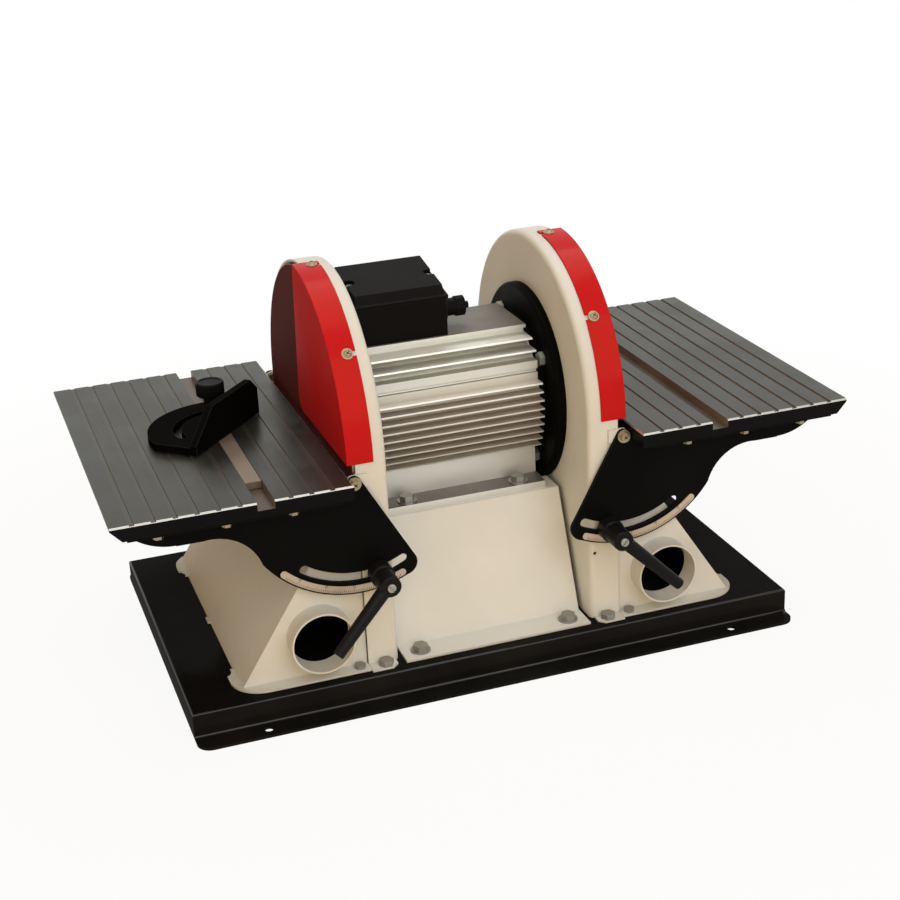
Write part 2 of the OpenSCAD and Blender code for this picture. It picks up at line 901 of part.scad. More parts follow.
// Turns the Z axis out to a guard screw, at its place along the shaft
module at_guard_screw(angle) {
    translate([guard_slot_x, 0, shaft_z])
        rotate([angle, 0, 0])
            children();
}

module guard() {
    difference() {
        translate([0, 0, shaft_z]) {
            translate([guard_x - guard_sheet, 0, 0])
                extrude_x(guard_sheet)
                    intersection() {
                        circle(guard_r);
                        guard_outline();
                    }
            translate([guard_band_x, 0, 0])
                extrude_x(guard_band_w)
                    intersection() {
                        difference() {
                            circle(guard_r);
                            circle(guard_r - guard_sheet);
                        }
                        guard_outline();
                    }
        }
        for (angle = guard_slot_angles)
            at_guard_screw(angle)
                translate([0, 0, disc_r]) {
                    cylinder(d = guard_slot_w, h = guard_r);
                    translate([-guard_band_w, -guard_slot_w / 2, 0])
                        cube([guard_band_w, guard_slot_w, guard_r]);
                }
    }
}

module left_guard() {
    color(red)
        on_left()
            guard();
}

module right_guard() {
    color(red)
        guard();
}

// Section of the extruded motor frame about the shaft, seen along it
module frame_section() {
    foot_low = -motor_axis_h;
    difference() {
        union() {
            circle(frame_r);
            intersection() {
                circle(fin_tip_r);
                for (side = [0, 1])
                    mirror([side, 0])
                        for (row = concat(upper_fin_shares, lower_fin_shares))
                            translate([frame_bore_r / 2, row * fin_pitch + fin_shift - fin_t / 2])
                                square([fin_tip_r, fin_t]);
            }
            for (side = [0, 1])
                mirror([side, 0]) {
                    for (z = boss_rows)
                        translate([boss_reach / 2, z - boss_h / 2])
                            square([boss_reach / 2, boss_h]);
                    translate([web_y - web_t, foot_low])
                        square([web_t, motor_axis_h - web_top]);
                    translate([web_y - web_t, foot_low])
                        square([foot_w / 2 - web_y + web_t, foot_t]);
                }
            translate([-platform_w / 2, platform_h - platform_t])
                square([platform_w, platform_t]);
            translate([-platform_neck_w / 2, frame_bore_r / 2])
                square([platform_neck_w, platform_h - frame_bore_r / 2]);
        }
        circle(frame_bore_r);
    }
}

module motor_frame() {
    color(aluminium)
        difference() {
            translate([-frame_end, 0, shaft_z])
                extrude_x(motor_l)
                    frame_section();
            on_corners()
                translate([foot_bolt_span_x / 2, foot_bolt_span_y / 2, foot_z - overrun])
                    cylinder(r = foot_bolt_d / 2 + seat_fit, h = foot_t + 2 * overrun);
        }
}

// Turns the Z axis along the shaft at one bell bolt
module at_bell_bolt(turn) {
    translate([0, bell_bolt_r * cos(turn), shaft_z + bell_bolt_r * sin(turn)])
        rotate([0, 90, 0])
            children();
}

module end_bell() {
    difference() {
        union() {
            translate([bell_face, 0, shaft_z])
                rotate([0, 90, 0])
                    rotate_extrude() {
                        square([bell_r - bell_edge_r, bell_reach]);
                        translate([0, bell_edge_r])
                            square([bell_r, bell_reach - bell_edge_r]);
                        translate([bell_r - bell_edge_r, bell_edge_r])
                            circle(bell_edge_r);
                    }
            shaft_round(frame_end, bell_gap, bell_ring_r);
            shaft_round(frame_end - spigot_l, spigot_l, frame_bore_r - seat_fit);
        }
        difference() {
            shaft_round(frame_end - spigot_l - overrun,
                bell_gap + spigot_l + bell_reach - bell_back_t + overrun, bell_cavity_r);
            shaft_round(bearing_x, bearing_w + bell_back_t, bell_hub_r);
        }
        shaft_round(bearing_x - overrun, bearing_w + overrun, bearing_d / 2 + seat_fit);
        shaft_round(bearing_x, bearing_w + bell_back_t + overrun, shaft_mid_d / 2);
        for (turn = bell_bolt_turns)
            at_bell_bolt(turn)
                translate([0, 0, bell_face - overrun])
                    cylinder(r = bell_bolt_d / 2 + seat_fit, h = bell_reach + 2 * overrun);
    }
}

module left_end_bell() {
    color(black)
        on_left()
            end_bell();
}

module right_end_bell() {
    color(black)
        end_bell();
}

module stator_core() {
    color(steel)
        difference() {
            shaft_round(-core_l / 2, core_l, frame_bore_r - seat_fit);
            shaft_round(-core_l / 2 - overrun, core_l + 2 * overrun, rotor_r + air_gap);
        }
}

module stator_windings() {
    outer = frame_bore_r - winding_inset;
    color("#9c5a2c")
        for (side = [0, 1])
            mirror([side, 0, 0])
                difference() {
                    shaft_round(core_l / 2, winding_l, outer);
                    shaft_round(core_l / 2 - overrun, winding_l + 2 * overrun, outer - winding_wall);
                }
}

// Ball bearing as one ring, with a shield recess on each face
module bearing() {
    wall = (bearing_d - shaft_d) / 2;
    difference() {
        shaft_round(bearing_x, bearing_w, bearing_d / 2);
        shaft_round(bearing_x - overrun, bearing_w + 2 * overrun, shaft_d / 2 + run_fit);
        for (x = [bearing_x - overrun, bearing_x + bearing_w - bearing_recess])
            difference() {
                shaft_round(x, bearing_recess + overrun, bearing_d / 2 - wall * bearing_ring_share);
                shaft_round(x - overrun, bearing_recess + 3 * overrun,
                    shaft_d / 2 + wall * bearing_ring_share);
            }
    }
}

module left_bearing() {
    color(zinc)
        on_left()
            bearing();
}

module right_bearing() {
    color(zinc)
        bearing();
}

// Side of the terminal box seen along the shaft, drawn in by a wall for its hollow
module tbox_side(wall) {
    low = platform_z + wall;
    near = tbox_y + wall;
    far = tbox_y + tbox_w - wall;
    lift_share = tan(tbox_slope_angle);
    rise = wall > 0 ? overrun : 0;
    polygon([[near, low], [far, low], [far, platform_z + tbox_h + (far - tbox_y) * lift_share + rise],
        [near, platform_z + tbox_h + (near - tbox_y) * lift_share + rise]]);
}

module terminal_box() {
    color(black)
        difference() {
            translate([tbox_x - tbox_l / 2, 0, 0])
                extrude_x(tbox_l)
                    tbox_side(0);
            translate([tbox_x - tbox_l / 2 + tbox_wall, 0, 0])
                extrude_x(tbox_l - 2 * tbox_wall)
                    tbox_side(tbox_wall);
            translate([tbox_x + tbox_l / 2 - tbox_wall - overrun, gland_y, gland_z])
                rotate([0, 90, 0])
                    cylinder(r = gland_thread_d / 2 + seat_fit, h = tbox_wall + 2 * overrun);
        }
}

// Frame of the sloping lid: origin at the middle of its low edge
module at_lid() {
    translate([tbox_x, tbox_y, platform_z + tbox_h])
        rotate([tbox_slope_angle, 0, 0])
            translate([0, -lid_over, 0])
                children();
}

// Places one copy at each lid screw, X outwards
module at_lid_screws() {
    at_lid()
        for (side = [0, 1])
            mirror([side, 0, 0])
                translate([tbox_l / 2 - lid_screw_inset, lid_w * lid_screw_share, 0])
                    children();
}

module terminal_box_lid() {
    long = tbox_l + 2 * lid_over;
    top = lid_lip_h + lid_top_h;
    color(black)
        difference() {
            at_lid() {
                translate([-long / 2, 0, 0])
                    cube([long, lid_w, lid_lip_h]);
                translate([lid_step - long / 2, 0, 0])
                    extrude_x(long - 2 * lid_step)
                        polygon([[lid_step, 0], [lid_step, lid_lip_h], [lid_step + lid_bevel, top],
                            [lid_w - lid_step, top], [lid_w - lid_step, 0]]);
            }
            at_lid_screws() {
                translate([0, 0, lid_lip_h]) {
                    cylinder(d = lid_notch_w, h = lid_top_h + overrun);
                    translate([0, -lid_notch_w / 2, 0])
                        cube([lid_notch_w, lid_notch_w, lid_top_h + overrun]);
                }
                translate([0, 0, -overrun])
                    cylinder(r = lid_screw_d / 2 + seat_fit, h = lid_lip_h + 2 * overrun);
            }
        }
}

module lid_screws() {
    color(zinc)
        at_lid_screws() {
            translate([0, 0, lid_lip_h])
                cylinder(d = lid_screw_head_d, h = lid_top_h / 2);
            cylinder(d = lid_screw_d, h = lid_lip_h + overrun / 2);
        }
}

// Turns the Z axis out along the gland from the wall of the terminal box
module at_gland() {
    translate([tbox_x + tbox_l / 2, gland_y, gland_z])
        rotate([0, 90, 0])
            children();
}

module cable_gland() {
    color(black)
        at_gland()
            difference() {
                union() {
                    hex_head(gland_flange_d, gland_flange_t);
                    cylinder(d = gland_d * gland_neck_share, h = gland_body_l);
                    translate([0, 0, -tbox_wall - gland_thread_l])
                        cylinder(d = gland_thread_d, h = tbox_wall + gland_thread_l + overrun);
                }
                translate([0, 0, -tbox_wall - gland_thread_l - overrun])
                    cylinder(d = gland_bore_d, h = gland_body_l + gland_thread_l + tbox_wall + 2 * overrun);
            }
}

module gland_nut() {
    color(black)
        at_gland()
            translate([0, 0, gland_body_l])
                difference() {
                    union() {
                        cylinder(d = gland_nut_d, h = gland_nut_l, $fn = 12);
                        translate([0, 0, gland_nut_l])
                            cylinder(d = gland_tip_d, h = gland_tip_l);
                    }
                    translate([0, 0, -overrun])
                        cylinder(d = gland_bore_d, h = gland_nut_l + gland_tip_l + 2 * overrun);
                }
}

module run_capacitor() {
    color(zinc)
        translate([tbox_x - capacitor_l / 2, capacitor_y, platform_z + tbox_wall + capacitor_d / 2])
            rotate([0, 90, 0])
                cylinder(d = capacitor_d, h = capacitor_l);
}

module bell_bolts() {
    color(zinc)
        for (side = [0, 1])
            mirror([side, 0, 0])
                for (turn = bell_bolt_turns)
                    at_bell_bolt(turn)
                        translate([0, 0, bell_face])
                            mirror([0, 0, 1])
                                hex_bolt(bell_bolt_d, bell_reach + housing_sheet + bell_bolt_d / 4, false);
}

module motor_foot_bolts() {
    color(zinc)
        on_corners()
            translate([foot_bolt_span_x / 2, foot_bolt_span_y / 2, foot_z + foot_t])
                hex_bolt(foot_bolt_d, foot_t + pedestal_sheet + foot_bolt_d);
}

module pedestal_bolts() {
    color(zinc)
        on_corners()
            translate([pedestal_bolt_x, pedestal_bolt_y, base_h + pedestal_sheet])
                hex_bolt(pedestal_bolt_d, pedestal_sheet + base_sheet + pedestal_bolt_d);
}

module housing_bolts() {
    color(zinc)
        on_corners()
            translate([housing_bolt_x, housing_bolt_y, base_h + housing_sheet])
                hex_bolt(housing_bolt_d, housing_sheet + base_sheet + housing_bolt_d, false);
}

module chute_bolts() {
    color(zinc)
        on_corners()
            translate([chute_bolt_x, chute_bolt_y, base_h + chute_sheet])
                hex_bolt(chute_bolt_d, chute_sheet + base_sheet + chute_bolt_d, false);
}

module guard_screws() {
    color(brass)
        for (side = [0, 1])
            mirror([side, 0, 0])
                for (angle = guard_slot_angles)
                    at_guard_screw(angle)
                        translate([0, 0, guard_r]) {
                            cylinder(d = guard_washer_d, h = guard_washer_t);
                            translate([0, 0, guard_washer_t])
                                cylinder(d1 = guard_head_d, d2 = guard_head_d / 2, h = guard_head_h);
                            translate([0, 0, -guard_screw_l])
                                cylinder(d = guard_screw_d, h = guard_screw_l + overrun / 2);
                        }
}

// Shoulder screw of a tilt pivot on the front right
module pivot_screw() {
    head = pivot_d / 2;
    seat = -trunnion_face_y - fit;
    rim = seat - lug_t / 2;
    cross_round(pivot_x, pivot_z, seat, -housing_r, head);
    cross_round(pivot_x, pivot_z, rim, seat, pivot_boss_r - fit);
    cross_round(pivot_x, pivot_z, rim - head, seat, head + fit);
}

module pivot_screws() {
    color(brass)
        on_corners()
            pivot_screw();
}

module clamp_studs() {
    color(steel)
        on_corners() {
            cross_round(stud_x, stud_z, -lever_y - stud_reach, housing_sheet - housing_r, stud_d / 2);
            translate([stud_x, housing_sheet - housing_r + stud_head_h, stud_z])
                rotate([90, 0, 0])
                    hex_head(stud_head_d, stud_head_h);
        }
}

module lever_cap_screws() {
    front = lever_y + lever_hub_l;
    color(zinc)
        on_corners()
            difference() {
                union() {
                    cross_round(stud_x, stud_z, -front - overrun / 2, -lever_y - stud_reach, cap_screw_d / 2);
                    cross_round(stud_x, stud_z, -front - fit - cap_head_h, -front - fit, cap_head_d / 2);
                }
                translate([stud_x, -front - fit - cap_head_h, stud_z])
                    rotate([0, lever_angle, 0])
                        cube([cap_head_d + overrun, cap_head_h, cap_slot_w], center = true);
            }
}

// Frame of the switch: origin on the rear panel, Z out of it, Y down it
module at_switch() {
    translate([0, switch_y, switch_z])
        rotate([-switch_tilt_angle, 0, 0])
            children();
}

module switch_box() {
    color(black)
        at_switch()
            difference() {
                translate([0, 0, -switch_box_depth])
                    linear_extrude(switch_box_depth)
                        square([switch_w - 2 * switch_box_inset, switch_l - 2 * switch_box_inset],
                            center = true);
                for (side = [-1, 1])
                    translate([0, side * button_pitch / 2, -button_seat - button_travel - fit])
                        cylinder(d = button_d + 2 * button_gap, h = switch_box_depth);
            }
}

module switch_plate() {
    color(black)
        at_switch()
            linear_extrude(switch_plate_t)
                difference() {
                    round_rect(switch_w, switch_l, switch_corner_r);
                    for (side = [-1, 1])
                        translate([0, side * button_pitch / 2])
                            circle(d = button_d + 2 * button_gap);
                }
}

// Push button on its place along the plate
module button(side) {
    at_switch()
        translate([0, side * button_pitch / 2, -button_seat])
            cylinder(d = button_d, h = button_seat + switch_plate_t + button_proud);
}

module start_button() {
    color("#2f8f46")
        button(-1);
}

module stop_button() {
    color(red)
        button(1);
}

module motor_shaft() {
    color(steel) {
        shaft_round(-shaft_end_x, 2 * shaft_end_x, shaft_d / 2);
        shaft_round(-shaft_shoulder_x, 2 * shaft_shoulder_x, shaft_mid_d / 2);
    }
}

module rotor_core() {
    color(steel)
        difference() {
            shaft_round(-core_l / 2, core_l, rotor_r);
            shaft_round(-core_l / 2 - overrun, core_l + 2 * overrun, shaft_mid_d / 2 + seat_fit);
        }
}

// Backing plate of a disc, with its hub on the motor side
module disc_plate() {
    difference() {
        union() {
            shaft_round(plate_x, disc_plate_t, disc_r);
            shaft_round(hub_x, plate_x - hub_x + overrun, hub_r);
        }
        shaft_round(hub_x - overrun, plate_x - hub_x + overrun, shaft_d / 2 + seat_fit);
        difference() {
            shaft_round(plate_x - overrun, plate_recess + overrun, disc_r - plate_recess_inset);
            shaft_round(plate_x - 2 * overrun, plate_recess + 4 * overrun, hub_r + plate_recess_inset);
        }
        for (turn = [0, 90])
            at_hub_screw(turn)
                cylinder(r = hub_screw_d / 2 + seat_fit, h = hub_r + overrun);
    }
}

// Turns the Z axis out along a set screw in the hub
module at_hub_screw(turn) {
    translate([hub_screw_x, 0, shaft_z])
        rotate([turn, 0, 0])
            children();
}

module left_disc_plate() {
    color(aluminium)
        on_left()
            disc_plate();
}

module right_disc_plate() {
    color(aluminium)
        disc_plate();
}

module left_sanding_disc() {
    color(maroon)
        on_left()
            shaft_round(disc_x - abrasive_t, abrasive_t, disc_r);
}

module right_sanding_disc() {
    color(maroon)
        shaft_round(disc_x - abrasive_t, abrasive_t, disc_r);
}

module hub_set_screws() {
    color(black)
        for (side = [0, 1])
            mirror([side, 0, 0])
                for (turn = [0, 90])
                    at_hub_screw(turn)
                        translate([0, 0, shaft_d / 2 + seat_fit])
                            cylinder(d = hub_screw_d, h = hub_r - shaft_d / 2 - seat_fit);
}

// Section of a table seen along Y, with its grooves and mitre slot
module table_section() {
    difference() {
        polygon([[table_x, table_under_z], [table_x, table_z - table_chamfer],
            [table_x + table_chamfer, table_z], [table_end_x, table_z],
            [table_end_x, table_z - table_edge_h], [table_end_x - table_bevel, table_under_z]]);
        translate([slot_x - slot_w / 2, table_z - slot_depth])
            square([slot_w, slot_depth + overrun]);
        for (x = [slot_x + groove_first : groove_pitch : table_end_x - table_bevel])
            translate([x - groove_w / 2, table_z - groove_d])
                square([groove_w, groove_d + overrun]);
        for (x = [slot_x - groove_first : -groove_pitch : table_x + table_rim_w])
            translate([x - groove_w / 2, table_z - groove_d])
                square([groove_w, groove_d + overrun]);
    }
}

// Pocket on the underside of a table, from x = near to x = far
module table_pocket(near, far) {
    bay = (table_l - 2 * table_end_rim_w - (table_rib_count - 1) * table_rib_w) / table_rib_count;
    for (i = [0 : table_rib_count - 1])
        translate([near, table_end_rim_w - table_l / 2 + i * (bay + table_rib_w), table_under_z - overrun])
            cube([far - near, bay, table_rim_h - table_plate_t + overrun]);
}

// Screw places of the trunnion flanges, on the front right
module at_table_screws() {
    for (share = table_screw_shares)
        translate([flange_x + share * flange_l, -table_screw_y, table_under_z - trunnion_t])
            children();
}

module table() {
    slot_rib = slot_w / 2 + table_rib_w;
    edge_y = -table_l / 2 - overrun;
    low_z = table_z - table_chamfer - overrun;
    high_z = table_z + overrun;
    difference() {
        translate([0, -table_l / 2, 0])
            extrude_y(table_l)
                table_section();
        table_pocket(table_x + table_rim_w, slot_x - slot_rib);
        table_pocket(slot_x + slot_rib, table_end_x - table_bevel - table_rim_w);
        for (flip_y = [0, 1])
            mirror([0, flip_y, 0]) {
                at_table_screws()
                    cylinder(r = table_screw_d / 2 + seat_fit, h = trunnion_t + table_screw_depth);
                translate([table_x - overrun, 0, 0])
                    extrude_x(table_end_x - table_x + 2 * overrun)
                        polygon([[edge_y, low_z], [edge_y + high_z - low_z, high_z], [edge_y, high_z]]);
            }
    }
}

module left_table() {
    color(black)
        on_left()
            table();
}

module right_table() {
    color(black)
        table();
}

// Outline of a trunnion plate seen along Y
module trunnion_outline() {
    pivot_at = [pivot_x, pivot_z];
    toe_at = [toe_x, toe_z];
    tip_x = trunnion_bar_x - trunnion_tip_l;
    bar_z = table_under_z - trunnion_bar_h;
    along = (toe_at - pivot_at) / toe_far;
    pinch = (toe_r - pivot_boss_r) / toe_far;
    out = [along[1], -along[0]];
    edge = tangent_share * (out * sqrt(1 - pow(pinch, 2)) - along * pinch);
    difference() {
        union() {
            translate(pivot_at)
                circle(pivot_boss_r);
            translate(toe_at)
                circle(toe_r);
            polygon([pivot_at - pivot_boss_r / 2 * edge, pivot_at + pivot_boss_r * edge,
                toe_at + toe_r * edge, toe_at - toe_r / 2 * edge]);
            translate(pivot_at)
                intersection() {
                    circle(trunnion_r);
                    wedge(toe_angle, 0, trunnion_far);
                }
            polygon([pivot_at, [relief_x, relief_z], [relief_x, table_under_z - trunnion_bar_h / 2]]);
            translate([pivot_x, bar_z])
                square([tip_x - pivot_x, trunnion_bar_h]);
            intersection() {
                translate([tip_x, bar_z + trunnion_tip_r])
                    circle(tangent_share * trunnion_tip_r);
                translate([pivot_x, bar_z])
                    square([trunnion_bar_x - pivot_x, trunnion_bar_h]);
            }
        }
        translate([relief_x, relief_z])
            circle(relief_r);
        translate([table_x - fit, table_under_z])
            square([table_w, table_w]);
        translate(pivot_at) {
            circle(pivot_d / 2 + run_fit);
            arc_band(arc_r, arc_slot_w, arc_low_angle, arc_high_angle);
        }
    }
}

module trunnion() {
    translate([0, -trunnion_face_y, 0])
        extrude_y(trunnion_t)
            trunnion_outline();
    difference() {
        translate([flange_x, -flange_far_y, table_under_z - trunnion_t])
            cube([flange_l, flange_far_y - flange_near_y, trunnion_t]);
        at_table_screws()
            translate([0, 0, -overrun])
                cylinder(r = table_screw_d / 2 + seat_fit, h = trunnion_t + 2 * overrun);
    }
}

module left_front_trunnion() {
    color(black)
        on_left()
            trunnion();
}

module left_rear_trunnion() {
    color(black)
        on_left()
            on_rear()
                trunnion();
}

module right_front_trunnion() {
    color(black)
        trunnion();
}

module right_rear_trunnion() {
    color(black)
        on_rear()
            trunnion();
}

module angle_scale() {
    translate([pivot_x, -trunnion_face_y - scale_t, pivot_z])
        extrude_y(scale_t)
            arc_band(scale_r, scale_w, scale_low_angle, scale_high_angle);
}

module left_angle_scale() {
    color("#c9b391")
        on_left()
            angle_scale();
}

module right_angle_scale() {
    color("#c9b391")
        angle_scale();
}

module table_screws() {
    for (flip_y = [0, 1])
        mirror([0, flip_y, 0])
            at_table_screws() {
                cylinder(d = table_screw_d, h = trunnion_t + table_screw_depth - overrun / 2);
                translate([0, 0, -table_screw_washer_t])
                    cylinder(d = table_screw_d * washer_share, h = table_screw_washer_t);
                translate([0, 0, -table_screw_washer_t - table_screw_head_h])
                    hex_head(table_screw_d * head_af_share, table_screw_head_h + overrun / 2);
            }
}

module left_table_screws() {
    color(brass)
        on_left()
            table_screws();
}

module right_table_screws() {
    color(brass)
        table_screws();
}

// Ratchet lever on the front right clamp stud
module lever() {
    front = lever_y + lever_hub_l;
    difference() {
        union() {
            cross_round(stud_x, stud_z, -lever_y - lever_skirt_h, -lever_y, lever_skirt_r);
            cross_round(stud_x, stud_z, -front, -lever_y, lever_hub_r);
            hull() {
                translate([stud_x, lever_root_r - front, stud_z])
                    sphere(lever_root_r, $fn = 28);
                translate([stud_x + lever_l * cos(lever_angle), 2 * lever_tip_r - front - lever_lift,
                    stud_z - lever_l * sin(lever_angle)])
                    sphere(lever_tip_r, $fn = 28);
            }
        }
        cross_round(stud_x, stud_z, -lever_y - stud_reach - fit, overrun - lever_y, stud_d / 2 + run_fit);
        cross_round(stud_x, stud_z, -front - lever_root_r, overrun - lever_y, cap_screw_d / 2 + run_fit);
        cross_round(stud_x, stud_z, -front - lever_lift, -front, cap_head_d / 2 + fit);
    }
}

module left_front_lever() {
    color(black)
        on_left()
            lever();
}

module left_rear_lever() {
    color(black)
        on_left()
            on_rear()
                lever();
}

module right_front_lever() {
    color(black)
        lever();
}

module right_rear_lever() {
    color(black)
        on_rear()
            lever();
}

module mitre_bar() {
    color(zinc)
        difference() {
            translate([-slot_x - mitre_bar_w / 2, mitre_bar_y, mitre_bar_z])
                cube([mitre_bar_w, mitre_bar_l, mitre_bar_t]);
            translate([-slot_x, mitre_y, mitre_bar_z - overrun])
                cylinder(r = mitre_pin_d / 2 + seat_fit, h = mitre_bar_t + 2 * overrun);
            translate([-slot_x, mitre_y + mitre_arc_r, mitre_bar_z - overrun])
                cylinder(r = mitre_stud_d / 2 + run_fit, h = mitre_bar_t + 2 * overrun);
        }
}

module mitre_pivot_pin() {
    color(steel)
        translate([-slot_x, mitre_y, mitre_bar_z])
            cylinder(d = mitre_pin_d, h = mitre_z - mitre_bar_z + mitre_pin_h);
}

// Fence seen along its normal, low at one end and clipped at the other
module fence_outline() {
    half = fence_l / 2;
    polygon([[-half, 0], [half, 0], [half, fence_h - fence_clip], [half - fence_clip, fence_h],
        [fence_slope_run - half, fence_h], [-half, fence_low_h]]);
}

module mitre_head() {
    color(black)
        translate([-slot_x, mitre_y, mitre_z])
            rotate([0, 0, mitre_angle])
                difference() {
                    union() {
                        linear_extrude(mitre_head_t)
                            intersection() {
                                circle(mitre_head_r);
                                translate([-fence_l / 2, -mitre_face])
                                    square([fence_l, mitre_head_r + mitre_face]);
                            }
                        translate([0, -mitre_face, 0])
                            extrude_y(fence_t)
                                fence_outline();
                    }
                    translate([0, 0, -overrun])
                        cylinder(r = mitre_pin_d / 2 + run_fit, h = mitre_pin_h + fit + overrun);
                    translate([0, 0, -overrun])
                        linear_extrude(mitre_head_t + 2 * overrun)
                            arc_band(mitre_arc_r, mitre_arc_w, -90 - mitre_swing, mitre_swing - 90);
                }
}

module mitre_knob() {
    stem_z = mitre_head_t + fit;
    reach = mitre_z - mitre_bar_z;
    color(black)
        translate([-slot_x, mitre_y + mitre_arc_r, mitre_z]) {
            translate([0, 0, fit - reach])
                cylinder(d = mitre_stud_d, h = reach + stem_z);
            translate([0, 0, stem_z])
                cylinder(d = knob_stem_d, h = knob_stem_h);
            translate([0, 0, stem_z + knob_stem_h])
                linear_extrude(knob_h)
                    difference() {
                        circle(d = knob_d);
                        for (i = [0 : knob_lobe_count - 1])
                            rotate(i * 360 / knob_lobe_count)
                                translate([knob_d / 2 + knob_lobe_d / 4, 0])
                                    circle(d = knob_lobe_d);
                    }
        }
}

base_pan();
pedestal();
left_housing();
right_housing();
left_dust_chute();
right_dust_chute();
left_guard();
right_guard();
motor_frame();
left_end_bell();
right_end_bell();
stator_core();
stator_windings();
left_bearing();
right_bearing();
terminal_box();
terminal_box_lid();
lid_screws();
cable_gland();
gland_nut();
run_capacitor();
bell_bolts();
motor_foot_bolts();
pedestal_bolts();
housing_bolts();
chute_bolts();
guard_screws();
pivot_screws();
clamp_studs();
lever_cap_screws();
switch_box();
switch_plate();
motor_shaft();
rotor_core();
left_disc_plate();
right_disc_plate();
left_sanding_disc();
right_sanding_disc();
hub_set_screws();
left_table();
left_front_trunnion();
left_rear_trunnion();
left_angle_scale();
left_table_screws();
right_table();
right_front_trunnion();
right_rear_trunnion();
right_angle_scale();
right_table_screws();
left_front_lever();
left_rear_lever();
right_front_lever();
right_rear_lever();
mitre_bar();
mitre_pivot_pin();
mitre_head();
mitre_knob();
start_button();
stop_button();
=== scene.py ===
"""Finishes, fine pieces and studio for a twin disc sander that stands on a bench."""

import json
import math

import bpy
from bpy.props import FloatProperty, FloatVectorProperty, IntProperty, PointerProperty
from mathutils import Matrix, Vector


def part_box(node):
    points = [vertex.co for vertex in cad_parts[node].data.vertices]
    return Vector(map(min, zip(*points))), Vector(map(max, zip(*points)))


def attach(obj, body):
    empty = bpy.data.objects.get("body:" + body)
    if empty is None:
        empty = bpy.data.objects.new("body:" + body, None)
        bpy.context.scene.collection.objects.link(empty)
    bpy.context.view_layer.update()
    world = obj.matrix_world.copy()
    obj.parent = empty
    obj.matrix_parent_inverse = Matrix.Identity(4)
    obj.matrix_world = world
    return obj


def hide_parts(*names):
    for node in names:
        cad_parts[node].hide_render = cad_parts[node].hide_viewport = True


bl_info = {
    "name": "Twin disc sander",
    "version": (1, 0, 0),
    "blender": (4, 5, 0),
    "location": "View3D > Sidebar > Sander",
    "description": "Paints and finishes the sander, adds its fine pieces and sets up a studio",
    "category": "Object",
}

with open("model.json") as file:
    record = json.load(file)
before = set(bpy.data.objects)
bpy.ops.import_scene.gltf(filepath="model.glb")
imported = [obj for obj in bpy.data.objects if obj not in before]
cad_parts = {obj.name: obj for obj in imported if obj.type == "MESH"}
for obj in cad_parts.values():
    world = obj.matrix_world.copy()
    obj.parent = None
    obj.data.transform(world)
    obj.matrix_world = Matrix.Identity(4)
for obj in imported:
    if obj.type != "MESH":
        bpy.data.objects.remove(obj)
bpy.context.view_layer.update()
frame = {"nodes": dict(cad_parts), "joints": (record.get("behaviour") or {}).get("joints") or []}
JOINTS = {joint["name"]: joint for joint in frame["joints"]}
NODES = frame["nodes"]
SHAFT_Z = JOINTS["rotor_spin"]["pos_m"][2]

MM = 0.001
ROUNDING = 0.01 * MM
MERGE_REACH = 0.001 * MM
PAINT_RELIEF = 0.6 * MM
METAL_RELIEF = 0.4 * MM
UPRIGHT = (0.0, 0.0, 0.0)
TO_FRONT = (math.pi / 2, 0.0, 0.0)


def colour_prop(name, text, value):
    """A colour that a user can pick, in linear light."""
    return FloatVectorProperty(
        name=name, description=text, subtype="COLOR", size=3, min=0.0, max=1.0, default=value
    )


def length_prop(name, text, millimetres):
    """A length that a user can set, kept in metres."""
    return FloatProperty(
        name=name, description=text, subtype="DISTANCE", unit="LENGTH", min=0.0, default=millimetres * MM
    )


def angle_prop(name, text, degrees):
    """An angle that a user can set, kept in radians."""
    return FloatProperty(name=name, description=text, subtype="ANGLE", default=math.radians(degrees))


def place_prop(name, text, value):
    """A place that a user can set, in metres."""
    return FloatVectorProperty(
        name=name, description=text, subtype="XYZ", unit="LENGTH", size=3, default=value
    )


def power_prop(name, text, watts):
    """The power of a lamp."""
    return FloatProperty(name=name, description=text, subtype="POWER", default=watts)


